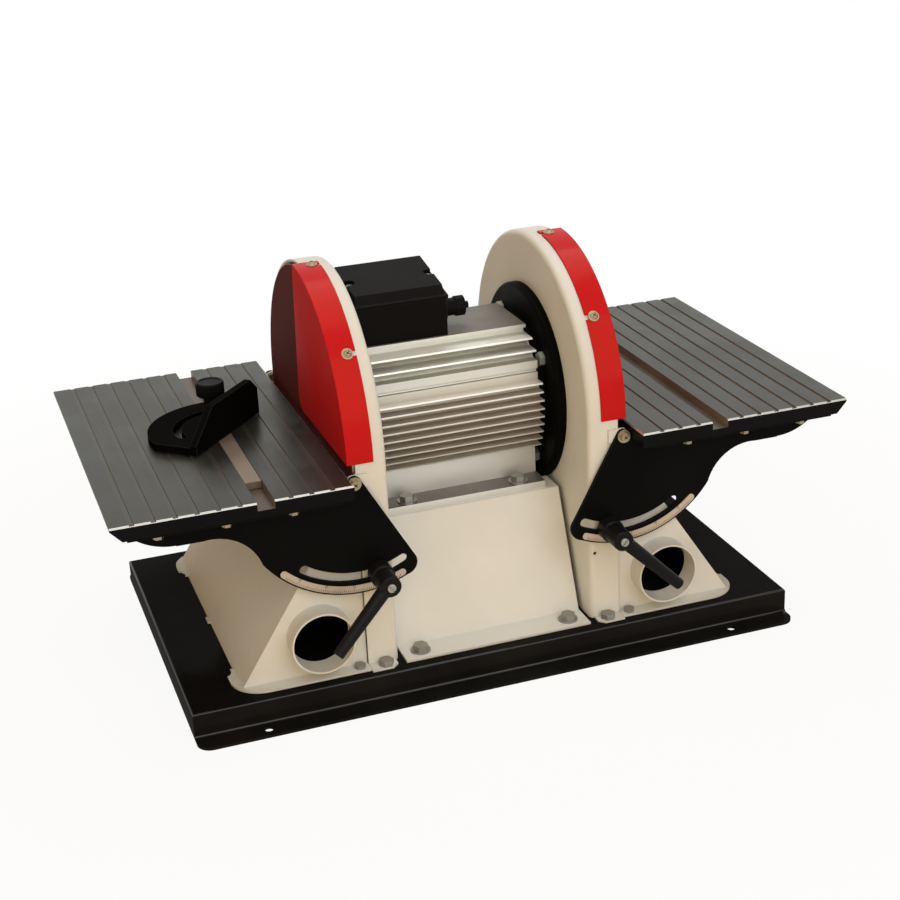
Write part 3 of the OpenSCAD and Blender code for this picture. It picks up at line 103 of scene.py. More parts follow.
class SanderColours(bpy.types.PropertyGroup):
    """Colours of the finishes."""

    cream: colour_prop("Cream paint", "Coat of the housings, chutes and pedestal", (0.745, 0.755, 0.708))
    black: colour_prop("Black paint", "Paint of the base, trunnions and end bells", (0.0034, 0.0033, 0.0030))
    red: colour_prop("Red paint", "Paint of the guards", (0.56, 0.012, 0.016))
    red_sheen: colour_prop("Red sheen", "Tint of the gloss on the guards", (1.0, 0.55, 0.20))
    aluminium: colour_prop("Aluminium", "Bare extruded and cast aluminium", (0.70, 0.685, 0.62))
    table: colour_prop("Table metal", "Ground face of the tables", (0.0585, 0.058, 0.048))
    abrasive: colour_prop("Abrasive", "Grit of the sanding discs", (0.115, 0.016, 0.012))
    plastic: colour_prop("Black plastic", "Moulded box, knobs and levers", (0.0062, 0.0055, 0.0052))
    zinc: colour_prop("Zinc", "Plated bolts", (0.31, 0.305, 0.265))
    yellow_zinc: colour_prop("Yellow zinc", "Yellow plated screws", (0.33, 0.27, 0.16))
    dark_steel: colour_prop("Dark steel", "Blackened set screws", (0.06, 0.06, 0.06))
    steel: colour_prop("Steel", "Turned shaft, bearings and studs", (0.52, 0.51, 0.48))
    laminate: colour_prop("Laminated steel", "Cores of the motor", (0.30, 0.29, 0.27))
    copper: colour_prop("Copper", "Enamelled wire of the windings", (0.45, 0.17, 0.06))
    can: colour_prop("Capacitor can", "Drawn can of the capacitor", (0.62, 0.61, 0.58))
    bar: colour_prop("Mitre bar", "Browned steel of the mitre bar", (0.21, 0.165, 0.122))
    scale: colour_prop("Scale strip", "Angle scale strips", (0.52, 0.42, 0.31))
    ink: colour_prop("Scale ink", "Ticks and figures of the angle scales", (0.012, 0.011, 0.010))
    recess: colour_prop("Recess", "Shadow in the cross of a screw", (0.006, 0.005, 0.004))
    start: colour_prop("Start button", "Plastic of the start button", (0.02, 0.22, 0.06))
    stop: colour_prop("Stop button", "Plastic of the stop button", (0.50, 0.012, 0.014))
    mark: colour_prop("Button mark", "Marks on the two buttons", (0.80, 0.79, 0.75))
    dust: colour_prop("Dust", "Fine dust that lies on the paint", (0.42, 0.36, 0.27))
    # Brown laid between the fins and on flat tops: dust, with painted shade darker towards the fin roots and
    # on the tops
    fin_dust: colour_prop("Fin dust", "Brown dust between the fins and on flat tops", (0.40, 0.325, 0.235))
    # Brown bloom of the grooves, made lighter as painted light that lifts the shade of groove walls and the
    # slot floor
    rust: colour_prop("Groove brown", "Brown bloom in the grooves of the tables", (0.23, 0.172, 0.13))
    # Bare chamfer coloured far brighter than the ground face of the same metal: a painted highlight
    bare_edge: colour_prop("Bare edge", "Bright chamfer of the tables", (0.52, 0.50, 0.45))
    # Lighter colour on edges: wear of the paint, and a painted highlight where edges catch the light
    worn_edge: colour_prop("Worn edge", "Black paint and plastic rubbed thin", (0.060, 0.058, 0.052))


class SanderSizes(bpy.types.PropertyGroup):
    """Sizes of the fine pieces."""

    lever_root: length_prop("Lever root radius", "Radius of a clamp lever where it leaves its hub", 7.2)
    lever_tip: length_prop("Lever tip radius", "Radius of a clamp lever at its tip", 5.7)
    lever_voxel: length_prop("Lever grain", "Size of the blending grid of a clamp lever", 0.7)
    tick_w: length_prop("Tick width", "Width of the scale ticks", 0.45)
    tick_h: length_prop("Tick height", "Height of the scale marks over the strip", 0.06)
    figure: length_prop("Figure size", "Height of the scale figures", 3.4)
    knob_ribs: IntProperty(name="Knob ribs", description="Ribs of the knob", min=6, max=60, default=30)
    bend: length_prop("Bend radius", "Outside radius of the bends of the base pan", 2.4)
    edge: length_prop("Edge softness", "Radius over which folded edges catch the light", 0.9)
    fine_edge: length_prop("Fine edge softness", "Radius over which fins and cuts catch the light", 0.25)
    cap_head: length_prop("Cap screw radius", "Radius of the head of a lever cap screw", 4.2)
    cap_h: length_prop("Cap screw height", "Height of the head of a lever cap screw", 3.0)
    cap_slot: length_prop("Cap screw slot", "Width of the slot of a lever cap screw", 1.3)
    cross_w: length_prop("Cross width", "Width of the cross recess of a screw", 0.9)
    cross_l: length_prop("Cross length", "Length of the cross recess of a screw", 4.6)


class SanderStudio(bpy.types.PropertyGroup):
    """Camera and lamps."""

    eye: place_prop("Camera place", "Where the camera stands", (-0.5066, -1.5598, 0.8459))
    yaw: angle_prop("Yaw", "Camera turn to the right", 18.4)
    pitch: angle_prop("Pitch", "Camera tilt downwards", 22.3)
    roll: angle_prop("Roll", "Camera roll", -2.7)
    lens: FloatProperty(name="Lens", description="Focal length", subtype="DISTANCE_CAMERA", default=67.41)
    sensor: FloatProperty(name="Sensor", description="Sensor width", subtype="DISTANCE_CAMERA", default=36.0)
    floor: colour_prop("Floor", "Colour of the floor", (0.84, 0.71, 0.48))
    key: power_prop("Key lamp", "Power of the key lamp", 42.0)
    key_place: place_prop("Key lamp place", "Where the key lamp hangs", (0.45, -2.50, 1.90))
    key_tint: colour_prop("Key tint", "Colour of the key lamp", (0.91, 0.95, 1.0))
    fill: power_prop("Fill lamp", "Power of the fill lamp", 11.0)
    fill_place: place_prop("Fill lamp place", "Where the fill lamp hangs", (-1.15, -2.05, 0.95))
    fill_tint: colour_prop("Fill tint", "Colour of the fill lamp", (1.0, 0.74, 0.46))
    top: power_prop("Top lamp", "Power of the top lamp", 32.0)
    top_place: place_prop("Top lamp place", "Where the top lamp hangs", (0.2, 0.6, 2.6))
    top_tint: colour_prop("Top tint", "Colour of the top lamp", (1.0, 1.0, 1.0))
    sky: FloatProperty(name="Sky", description="Strength of the light from all round", default=0.27)
    sky_tint: colour_prop("Sky tint", "Colour of the light from all round", (1.0, 0.60, 0.26))


def colours():
    """The colour settings."""
    return bpy.context.scene.sander_colours


def sizes():
    """The size settings."""
    return bpy.context.scene.sander_sizes


# Shader helpers


def feed(tree, value, socket):
    """Links a socket to an input, or sets the input to a number or a colour."""
    if isinstance(value, bpy.types.NodeSocket):
        tree.links.new(value, socket)
    elif isinstance(value, (int, float)):
        socket.default_value = value
    else:
        socket.default_value = (*value, 1.0)


def wire(tree, item, **values):
    """Feeds the named inputs of a shader node, with underscores for spaces."""
    for name, value in values.items():
        feed(tree, value, item.inputs[name.replace("_", " ")])


def add_node(tree, kind, **values):
    """Adds a shader node and feeds its named inputs."""
    item = tree.nodes.new(kind)
    wire(tree, item, **values)
    return item


def mix(tree, factor, first, second):
    """The mix of two colours, where each value is given or comes from a socket."""
    item = tree.nodes.new("ShaderNodeMix")
    item.data_type = "RGBA"
    for slot, value in ((0, factor), (6, first), (7, second)):
        feed(tree, value, item.inputs[slot])
    return item.outputs[2]


def maths(tree, operation, result, *others, clamp=False):
    """The result of a maths operation on sockets or numbers, taken in turn."""
    for other in others or (0.0,):
        item = tree.nodes.new("ShaderNodeMath")
        item.operation = operation
        item.use_clamp = clamp
        feed(tree, result, item.inputs[0])
        feed(tree, other, item.inputs[1])
        result = item.outputs[0]
    return result


def vector_node(tree, operation, first, second):
    """A vector maths node on two sockets."""
    item = tree.nodes.new("ShaderNodeVectorMath")
    item.operation = operation
    tree.links.new(first, item.inputs[0])
    tree.links.new(second, item.inputs[1])
    return item


def times(tree, *factors):
    """The product of sockets and numbers."""
    return maths(tree, "MULTIPLY", *factors)


def span(tree, value, low, high, to_low=0.0, to_high=1.0):
    """Maps a value from one range to another, smoothly and clamped."""
    item = tree.nodes.new("ShaderNodeMapRange")
    item.interpolation_type = "SMOOTHSTEP"
    tree.links.new(value, item.inputs[0])
    for slot, number in enumerate((low, high, to_low, to_high), 1):
        item.inputs[slot].default_value = number
    return item.outputs[0]


def coords(tree, kind="Object"):
    """Object coordinates of a surface, or its Normal."""
    return tree.nodes.new("ShaderNodeTexCoord").outputs[kind]


def split(tree, kind):
    """X, Y and Z of the Object coordinates of a surface, or of its Normal."""
    return add_node(tree, "ShaderNodeSeparateXYZ", Vector=coords(tree, kind)).outputs


def noise(tree, scale, detail, roughness, vector=None):
    """A noise value, on Object coordinates unless another vector is given."""
    item = add_node(tree, "ShaderNodeTexNoise", Scale=scale, Detail=detail, Roughness=roughness)
    wire(tree, item, Vector=coords(tree) if vector is None else vector)
    return item.outputs["Fac"]


def new_group(name, inputs, outputs):
    """A shader node group that takes named numbers and puts out named values."""
    tree = bpy.data.node_groups.new(name, "ShaderNodeTree")
    for label, value in inputs.items():
        socket = tree.interface.new_socket(label, in_out="INPUT", socket_type="NodeSocketFloat")
        socket.default_value = value
    for label in outputs:
        tree.interface.new_socket(label, in_out="OUTPUT", socket_type="NodeSocketFloat")
    return tree, tree.nodes.new("NodeGroupInput").outputs, tree.nodes.new("NodeGroupOutput")


def place_group(tree, name, **values):
    """Places a node group in a material with its own values and returns what it puts out."""
    item = tree.nodes.new("ShaderNodeGroup")
    item.node_tree = bpy.data.node_groups[name]
    wire(tree, item, **values)
    return item.outputs


def paint_skin_group():
    """Fine skin of paint or plastic, and its uneven tone."""
    tree, given, result = new_group("Paint skin", {"Grain": 900.0, "Mottle": 9.0}, ("Height", "Tone"))
    grain = noise(tree, given["Grain"], 2.0, 0.55)
    mottle = noise(tree, given["Mottle"], 5.0, 0.62)
    wire(tree, result, Height=grain, Tone=span(tree, mottle, 0.32, 0.68))


def settled_dust_group():
    """Patches of dust on faces that look up."""
    tree, given, result = new_group("Settled dust", {"Reach": 0.5}, ("Mask",))
    patch = span(tree, noise(tree, 14.0, 6.0, 0.7), 0.38, 0.72)
    speck = span(tree, noise(tree, 420.0, 2.0, 0.6), 0.3, 0.62)
    upward = span(tree, split(tree, "Normal")["Z"], 0.35, 0.95)
    wire(tree, result, Mask=times(tree, patch, speck, upward, given["Reach"]))


def worn_edges_group():
    """Edges where the softened normal leaves the true one; paint lightens them as wear and as a painted
    highlight.
    """
    tree, given, result = new_group("Worn and lit edges", {"Radius": sizes().edge}, ("Mask",))
    soft = add_node(tree, "ShaderNodeBevel", Radius=given["Radius"])
    soft.samples = 8
    flat = tree.nodes.new("ShaderNodeNewGeometry")
    match = vector_node(tree, "DOT_PRODUCT", soft.outputs["Normal"], flat.outputs["Normal"])
    wire(tree, result, Mask=span(tree, match.outputs["Value"], 0.99, 0.80))


def drawn_metal_group():
    """Streaks along the way that a metal was drawn, and its uneven tone."""
    inputs = {"Along X": 1.0, "Along Y": 1.0, "Along Z": 1.0, "Fineness": 900.0}
    tree, given, result = new_group("Drawn metal", inputs, ("Streak", "Tone"))
    stretch = add_node(
        tree, "ShaderNodeCombineXYZ", X=given["Along X"], Y=given["Along Y"], Z=given["Along Z"]
    )
    lay = vector_node(tree, "MULTIPLY", coords(tree), stretch.outputs[0])
    streak = noise(tree, given["Fineness"], 3.0, 0.6, lay.outputs[0])
    wire(tree, result, Streak=streak, Tone=span(tree, noise(tree, 16.0, 5.0, 0.6), 0.3, 0.7))


def build_groups():
    """Builds the effects that several finishes share."""
    paint_skin_group()
    settled_dust_group()
    worn_edges_group()
    drawn_metal_group()


def new_material(name, bump_share, relief, edge=None):
    """A Principled material with a bump that also softens hard edges."""
    material = bpy.data.materials.new(name)
    material.use_nodes = True
    tree = material.node_tree
    shader = tree.nodes["Principled BSDF"]
    soft = add_node(tree, "ShaderNodeBevel", Radius=sizes().edge if edge is None else edge)
    soft.samples = 4
    bump = add_node(
        tree, "ShaderNodeBump", Strength=bump_share, Distance=relief, Normal=soft.outputs["Normal"]
    )
    wire(tree, shader, Normal=bump.outputs["Normal"])
    return material, tree, shader, bump


def shade(colour, share):
    """A colour made darker or lighter by a share."""
    return tuple(min(1.0, channel * share) for channel in colour)


def uneven(tree, tone, colour, spread):
    """A colour that a tone makes darker and lighter by a share."""
    return mix(tree, tone, shade(colour, 1.0 - spread), shade(colour, 1.0 + spread))


def painted(
    name, colour, rough, grain=900.0, depth=0.06, spread=0.07, dust=0.0, gloss=0.0, shine=0.5, wear_and_highlight=0.0
):
    """Paint or moulded plastic: fine skin, uneven tone, dust on faces that look up, and edges lightened by
    wear and by a painted highlight.
    """
    material, tree, shader, bump = new_material(name, depth, PAINT_RELIEF)
    skin = place_group(tree, "Paint skin", Grain=grain)
    base = uneven(tree, skin["Tone"], colour, spread)
    if dust:
        settled_dust_and_shade = place_group(tree, "Settled dust", Reach=dust)
        base = mix(tree, settled_dust_and_shade["Mask"], base, colours().dust)
    # Edges lightened: partly wear of the paint, partly a painted highlight for the light they catch
    if wear_and_highlight:
        rubbed_and_lit = times(tree, place_group(tree, "Worn and lit edges")["Mask"], wear_and_highlight)
        base = mix(tree, rubbed_and_lit, base, colours().worn_edge)
    patchy = span(tree, skin["Tone"], 0.0, 1.0, rough - 0.05, rough + 0.06)
    wire(tree, shader, Base_Color=base, Roughness=patchy, Specular_IOR_Level=shine)
    wire(tree, bump, Height=skin["Height"])
    if gloss:
        wire(tree, shader, Coat_Weight=gloss, Coat_Roughness=0.12)
    return material


def drawn_streaks(tree, along, fineness):
    """Streaks of drawn metal, and their blend with its uneven tone."""
    drawn = place_group(
        tree, "Drawn metal", Along_X=along[0], Along_Y=along[1], Along_Z=along[2], Fineness=fineness
    )
    return drawn["Streak"], times(tree, maths(tree, "ADD", drawn["Streak"], drawn["Tone"]), 0.5)


def metal(
    name, colour, rough, along=(1.0, 1.0, 1.0), fineness=900.0, depth=0.05, spread=0.08, bare=1.0, edge=None
):
    """Bare or plated metal with drawn streaks and an uneven tone."""
    material, tree, shader, bump = new_material(name, depth, METAL_RELIEF, edge)
    streak, blend = drawn_streaks(tree, along, fineness)
    patchy = span(tree, blend, 0.2, 0.8, rough - 0.06, rough + 0.08)
    wire(tree, shader, Base_Color=uneven(tree, blend, colour, spread), Roughness=patchy, Metallic=bare)
    wire(tree, bump, Height=streak)
    return material


def both(piece):
    """The names of the left and the right one of a piece."""
    return f"left_{piece}", f"right_{piece}"


def dress(material, *names):
    """Gives CAD nodes a finish."""
    for name in names:
        for slot in NODES[name].material_slots:
            slot.material = material


# Modelling helpers


def same(first, second):
    """Whether two lengths are the same but for rounding."""
    return abs(first - second) < ROUNDING


def extent(points):
    """Lowest and highest corner of some points."""
    low = Vector([min(point[axis] for point in points) for axis in range(3)])
    high = Vector([max(point[axis] for point in points) for axis in range(3)])
    return low, high


def turn_to(direction):
    """The turn that takes the Z axis to a direction."""
    return direction.to_track_quat("Z", "Y")


def only(item):
    """Makes one object the selected and active one."""
    bpy.ops.object.select_all(action="DESELECT")
    item.select_set(True)
    bpy.context.view_layer.objects.active = item


def cylinder(radius, length, middle, sides, turn=UPRIGHT):
    """A new cylinder round a middle point."""
    bpy.ops.mesh.primitive_cylinder_add(
        vertices=sides, radius=radius, depth=length, location=middle, rotation=turn
    )
    return bpy.context.object


def cone(bottom, top, length, middle, sides, turn=UPRIGHT):
    """A new cone round a middle point, with a radius at its bottom and one at its top."""
    bpy.ops.mesh.primitive_cone_add(
        vertices=sides, radius1=bottom, radius2=top, depth=length, location=middle, rotation=turn
    )
    return bpy.context.object


def block(length, width, height):
    """A new block round the origin."""
    bpy.ops.mesh.primitive_cube_add(size=1.0)
    item = bpy.context.object
    item.scale = (length, width, height)
    bpy.ops.object.transform_apply()
    return item


def join_pieces(items, name):
    """Joins objects into one and sets its place in its mesh."""
    piece = items[0]
    only(piece)
    for item in items[1:]:
        item.select_set(True)
    if len(items) > 1:
        bpy.ops.object.join()
    bpy.ops.object.transform_apply()
    piece.name = name
    piece.data.name = name
    return piece


def copy_to(piece, place):
    """A copy of a piece with its own mesh, set by a matrix."""
    only(piece)
    bpy.ops.object.duplicate()
    copy = bpy.context.object
    copy.matrix_world = place
    return copy


def merged_copy(node, name):
    """A copy of a CAD node with its triangles merged, in edit mode and selected all over."""
    only(NODES[node])
    bpy.ops.object.duplicate()
    copy = bpy.context.object
    copy.name = name
    copy.data.name = name
    bpy.ops.object.mode_set(mode="EDIT")
    bpy.ops.mesh.select_all(action="SELECT")
    bpy.ops.mesh.remove_doubles(threshold=MERGE_REACH)
    return copy


def remove(piece):
    """Takes out a pattern or a cutter that is no longer needed."""
    only(piece)
    bpy.ops.object.delete()


def face_outwards(piece):
    """Turns the faces of a closed piece outwards."""
    only(piece)
    bpy.ops.object.mode_set(mode="EDIT")
    bpy.ops.mesh.select_all(action="SELECT")
    bpy.ops.mesh.normals_make_consistent(inside=False)
    bpy.ops.object.mode_set(mode="OBJECT")


def select_parts(piece, parts, chosen, mode="VERT"):
    """Goes into edit mode with those faces or edges of a piece selected that a test chooses."""
    only(piece)
    bpy.ops.object.mode_set(mode="EDIT")
    bpy.ops.mesh.select_mode(type=mode)
    bpy.ops.mesh.select_all(action="DESELECT")
    bpy.ops.object.mode_set(mode="OBJECT")
    for part in parts:
        part.select = chosen(part)
    if not any(part.select for part in parts):
        raise RuntimeError(f"nothing of {piece.name} was chosen")
    bpy.ops.object.mode_set(mode="EDIT")


def apply_all(piece):
    """Applies a piece's modifiers in order."""
    only(piece)
    for modifier in list(piece.modifiers):
        bpy.ops.object.modifier_apply(modifier=modifier.name)


def ease_edges(piece, width, steps=1, sharper=30.0):
    """Bevels the edges of a piece that are sharper than an angle in degrees."""
    ease = piece.modifiers.new("Ease", "BEVEL")
    ease.width = width
    ease.segments = steps
    ease.limit_method = "ANGLE"
    ease.angle_limit = math.radians(sharper)
    apply_all(piece)


def finish_piece(piece, material, body, smooth=40.0):
    """Shades a new piece, gives it a finish and lets it ride on a body."""
    only(piece)
    bpy.ops.object.shade_smooth_by_angle(angle=math.radians(smooth))
    piece.data.materials.clear()
    piece.data.materials.append(material)
    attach(piece, body)


class SANDER_OT_sheet_metal(bpy.types.Operator):
    """Paint the pedestal, housings, chutes, guards and trunnions"""

    bl_idname = "sander.sheet_metal"
    bl_label = "Sheet metal paint"

    def execute(self, context):
        pick = colours()
        cream = painted(
            "Cream powder coat", pick.cream, 0.36, grain=620.0, depth=0.10, spread=0.03, dust=0.05,
            shine=0.08,
        )
        plate = painted("Black satin paint", pick.black, 0.38, grain=800.0, spread=0.2, shine=0.03, wear_and_highlight=0.5)
        red = painted("Red gloss paint", pick.red, 0.13, grain=300.0, depth=0.008, spread=0.03, shine=0.08)
        self.dull_faces(red)
        dress(cream, "pedestal", *both("housing"), *both("dust_chute"))
        dress(plate, *both("front_trunnion"), *both("rear_trunnion"))
        dress(red, *both("guard"))
        return {"FINISHED"}

    def dull_faces(self, red):
        """Warm gloss on the band of a guard, and a face dulled by sanding dust."""
        tree = red.node_tree
        shader = tree.nodes["Principled BSDF"]
        sideways = maths(tree, "ABSOLUTE", split(tree, "Normal")["X"])
        dulled = span(tree, sideways, 0.5, 0.9, 0.0, 0.5)
        gloss = shader.inputs["Roughness"].links[0].from_socket
        rough = maths(tree, "ADD", gloss, dulled)
        wire(tree, shader, Roughness=rough, Specular_Tint=colours().red_sheen)


class SANDER_OT_base_pan(bpy.types.Operator):
    """Model the base pan with rolled bends and give it gloss paint that shines at them"""

    bl_idname = "sander.base_pan"
    bl_label = "Base pan"
    bend_steps = 5

    def execute(self, context):
        piece = merged_copy("base_pan", "base_pan_rolled")
        bpy.ops.mesh.dissolve_limited(angle_limit=math.radians(0.5))
        bpy.ops.object.mode_set(mode="OBJECT")
        points = [vertex.co for vertex in piece.data.vertices]
        top = max(point.z for point in points)
        crown = [point for point in points if same(point.z, top)]
        end_x = max(point.x for point in crown)
        wall_y = max(point.y for point in crown)
        fold = min(point.z for point in points if same(abs(point.y), wall_y) and not same(point.z, 0.0))

        def bent(edge):
            first, last = (points[index] for index in edge.vertices)
            along_wall = same(abs(first.y), wall_y) and same(first.y, last.y)
            along_end = same(abs(first.x), end_x) and same(first.x, last.x)
            at_top = same(first.z, top) and same(last.z, top)
            at_fold = same(first.z, fold) and same(last.z, fold)
            return (at_top and (along_wall or along_end)) or (at_fold and along_wall)

        select_parts(piece, piece.data.edges, bent, "EDGE")
        bpy.ops.mesh.bevel(offset=sizes().bend, segments=self.bend_steps, affect="EDGES")
        bpy.ops.object.mode_set(mode="OBJECT")
        finish_piece(piece, self.gloss(colours()), "stand", smooth=30.0)
        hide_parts("base_pan")
        return {"FINISHED"}

    def gloss(self, colour):
        """Black gloss paint, polished where the sheet is bent."""
        material = painted(
            "Black gloss paint", shade(colour.black, 3.2), 0.30, grain=380.0, depth=0.02, spread=0.25,
            dust=0.004, gloss=0.05, shine=0.0,
        )
        tree = material.node_tree
        upward = split(tree, "Normal")["Z"]
        level = maths(tree, "SUBTRACT", 1.0, maths(tree, "POWER", upward, 2.0))
        bent = times(tree, maths(tree, "SQRT", level), upward)
        wire(tree, tree.nodes["Principled BSDF"], Coat_Weight=span(tree, bent, 0.08, 0.42, 0.05, 0.55))
        return material


class SANDER_OT_motor(bpy.types.Operator):
    """Finish the motor, its end bells, its terminal box and what is inside"""

    bl_idname = "sander.motor"
    bl_label = "Motor finishes"
    # Reach of the fins from the shaft, from root to tip
    fins = (78 * MM, 87 * MM)
    # Heights over the shaft, each from where the dust and painted shade start to where they are full
    lowest_fins = (-46 * MM, -36 * MM)
    highest_fins = (42 * MM, 8 * MM)
    platform = (73 * MM, 74 * MM)
    feet = (-72 * MM, -74 * MM)
    # Shares of dust and painted shade, and of bare metal where there is none
    fin_dust_share = 0.85
    top_dust_share = 0.92
    top_dust_shade = 0.20
    film_share = 0.6
    bare_share = 0.7

    def execute(self, context):
        pick = colours()
        bell = painted(
            "Black casting paint", pick.black, 0.46, grain=420.0, depth=0.2, spread=0.2, shine=0.012,
            wear_and_highlight=0.35,
        )
        moulded = painted(
            "Moulded black plastic", pick.plastic, 0.38, grain=1100.0, depth=0.08, spread=0.2, dust=0.004,
            shine=0.03, wear_and_highlight=0.6,
        )
        steel = metal("Turned steel", pick.steel, 0.26, along=(1.0, 0.05, 0.05), fineness=800.0)
        laminate = metal(
            "Laminated steel", pick.laminate, 0.4, along=(1.0, 0.01, 0.01), fineness=1500.0, depth=0.3
        )
        copper = metal("Enamelled copper wire", pick.copper, 0.32, along=(1.0, 0.02, 0.02), depth=0.6)
        can = metal("Capacitor can", pick.can, 0.34, along=(0.05, 1.0, 1.0))
        dress(self.finned(pick), "motor_frame")
        dress(bell, *both("end_bell"))
        dress(moulded, "terminal_box", "terminal_box_lid", "cable_gland", "gland_nut")
        dress(steel, "motor_shaft", *both("bearing"), "clamp_studs", "mitre_pivot_pin")
        dress(laminate, "stator_core", "rotor_core")
        dress(copper, "stator_windings")
        dress(can, "run_capacitor")
        return {"FINISHED"}

    def finned(self, colour):
        """Satin aluminium, drawn along the shaft, with brown dust and painted shade between the fins, and
        painted shade on flat tops.
        """
        material = metal(
            "Drawn aluminium", colour.aluminium, 0.46, along=(0.02, 1.0, 1.0), fineness=700.0, depth=0.015,
            spread=0.05, edge=sizes().fine_edge,
        )
        tree = material.node_tree
        shader = tree.nodes["Principled BSDF"]
        clean = shader.inputs["Base Color"].links[0].from_socket
        place = split(tree, "Object")
        up = maths(tree, "SUBTRACT", place["Z"], SHAFT_Z)
        squares = (maths(tree, "POWER", value, 2.0) for value in (up, place["Y"]))
        reach = maths(tree, "SQRT", maths(tree, "ADD", *squares))
        among_fins = times(tree, span(tree, up, *self.lowest_fins), span(tree, up, *self.highest_fins))
        # Brown darker towards the fin roots: dust and painted shade between the fins
        gap_dust_and_shade = times(tree, span(tree, reach, *self.fins, self.fin_dust_share, 0.0), among_fins)
        # Flat tops of the platform and feet darkened: painted shade, tinted like the dust
        level = maths(tree, "MAXIMUM", span(tree, up, *self.platform), span(tree, up, *self.feet))
        upward = span(tree, split(tree, "Normal")["Z"], 0.8, 0.95)
        settled_dust_and_shade = times(tree, upward, level, self.top_dust_share)
        tone = mix(tree, gap_dust_and_shade, clean, colour.fin_dust)
        tone = mix(tree, settled_dust_and_shade, tone, shade(colour.fin_dust, self.top_dust_shade))
        film = times(tree, maths(tree, "MAXIMUM", gap_dust_and_shade, settled_dust_and_shade), self.film_share)
        wire(tree, shader, Base_Color=tone, Metallic=maths(tree, "SUBTRACT", self.bare_share, film))
        return material


class SANDER_OT_discs(bpy.types.Operator):
    """Finish the disc plates and their abrasive"""

    bl_idname = "sander.discs"
    bl_label = "Disc finishes"

    def execute(self, context):
        pick = colours()
        plate = metal("Turned aluminium", pick.aluminium, 0.34, along=(1.0, 0.2, 0.2))
        dress(self.coated(pick), *both("sanding_disc"))
        dress(plate, *both("disc_plate"))
        return {"FINISHED"}

    def coated(self, colour):
        """Close grit, with a little dust in patches of wear."""
        material, tree, shader, bump = new_material("Coated abrasive", 0.6, PAINT_RELIEF)
        grit = add_node(tree, "ShaderNodeTexVoronoi", Vector=coords(tree), Scale=1500.0).outputs["Distance"]
        speck = span(tree, grit, 0.05, 0.6)
        # On the discs this mask is only wear: dust-coloured patches on the grit
        wear_and_highlight = span(tree, noise(tree, 7.0, 5.0, 0.6), 0.45, 0.75, 0.0, 0.07)
        base = mix(tree, speck, shade(colour.abrasive, 1.7), shade(colour.abrasive, 0.55))
        base = mix(tree, wear_and_highlight, base, shade(colour.dust, 0.6))
        patchy = span(tree, speck, 0.0, 1.0, 0.55, 0.85)
        wire(tree, shader, Base_Color=base, Roughness=patchy, Specular_IOR_Level=0.08)
        wire(tree, bump, Height=grit)
        return material


class SANDER_OT_tables(bpy.types.Operator):
    """Finish the tables: ground face and slot, black paint on the rim and underside"""

    bl_idname = "sander.tables"
    bl_label = "Table finishes"
    rim = 3 * MM
    # Depths under the face, each from where a film starts to where it is full
    groove = (0.3 * MM, 0.7 * MM)
    slot = (3 * MM, 4 * MM)
    # Shares of the brown on groove floors and on the slot floor; on the slot floor it is painted light that
    # lifts its shade
    groove_film = 0.13
    slot_film = 0.40
    bare_share = 0.85

    def execute(self, context):
        pick = colours()
        strip = metal("Scale strip", pick.scale, 0.42, fineness=300.0, bare=0.55)
        dress(self.ground(pick), *both("table"))
        dress(strip, *both("angle_scale"))
        return {"FINISHED"}

    def ground(self, colour):
        """Ground metal with a brown film in its grooves, lightened as painted light on their walls and on
        the slot floor, a bright chamfer that is a painted highlight, and paint elsewhere.
        """
        material, tree, shader, bump = new_material("Ground table", 0.05, METAL_RELIEF, sizes().fine_edge)
        upward, chamfer, walls, floors = self.masks(tree)
        bare = maths(tree, "MAXIMUM", upward, walls, chamfer)
        # Where the brown goes: groove walls and floors, where it is bloom and also painted light lifting
        # their shade
        brown = maths(tree, "MAXIMUM", walls, floors)
        streak, blend = drawn_streaks(tree, (1.0, 0.03, 1.0), 600.0)
        tone = place_group(tree, "Paint skin", Grain=700.0, Mottle=11.0)["Tone"]
        bloom = mix(tree, tone, shade(colour.rust, 0.85), shade(colour.rust, 1.2))
        metal_tone = mix(tree, brown, uneven(tree, blend, colour.table, 0.10), bloom)
        # Chamfer coloured bright as a painted highlight on bare metal
        metal_tone = mix(tree, chamfer, metal_tone, colour.bare_edge)
        paint = mix(tree, tone, shade(colour.black, 0.8), shade(colour.black, 1.3))
        bright = maths(tree, "SUBTRACT", bare, brown, clamp=True)
        patchy = span(tree, blend, 0.2, 0.8, 0.28, 0.40)
        wire(tree, shader, Base_Color=mix(tree, bare, paint, metal_tone), Roughness=patchy)
        wire(tree, shader, Metallic=times(tree, bright, self.bare_share), Specular_IOR_Level=0.06)
        wire(tree, bump, Height=streak)
        return material

    def masks(self, tree):
        """Where a table looks up, is chamfered, has walls of grooves, and has their floors."""
        low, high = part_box("right_table")
        place = split(tree, "Object")
        facing = split(tree, "Normal")
        across = maths(tree, "ABSOLUTE", place["X"])
        inside = times(
            tree,
            span(tree, across, low.x + self.rim, low.x + 2 * self.rim),
            span(tree, across, high.x - self.rim, high.x - 2 * self.rim),
        )
        upward = span(tree, facing["Z"], 0.85, 0.95)
        chamfer = maths(tree, "SUBTRACT", span(tree, facing["Z"], 0.4, 0.6), upward)
        walls = times(tree, inside, span(tree, maths(tree, "ABSOLUTE", facing["X"]), 0.8, 0.95))
        depth = maths(tree, "SUBTRACT", high.z, place["Z"])
        film = span(tree, depth, *self.slot, self.groove_film, self.slot_film)
        floors = times(tree, span(tree, depth, *self.groove), film, upward)
        return upward, chamfer, walls, floors


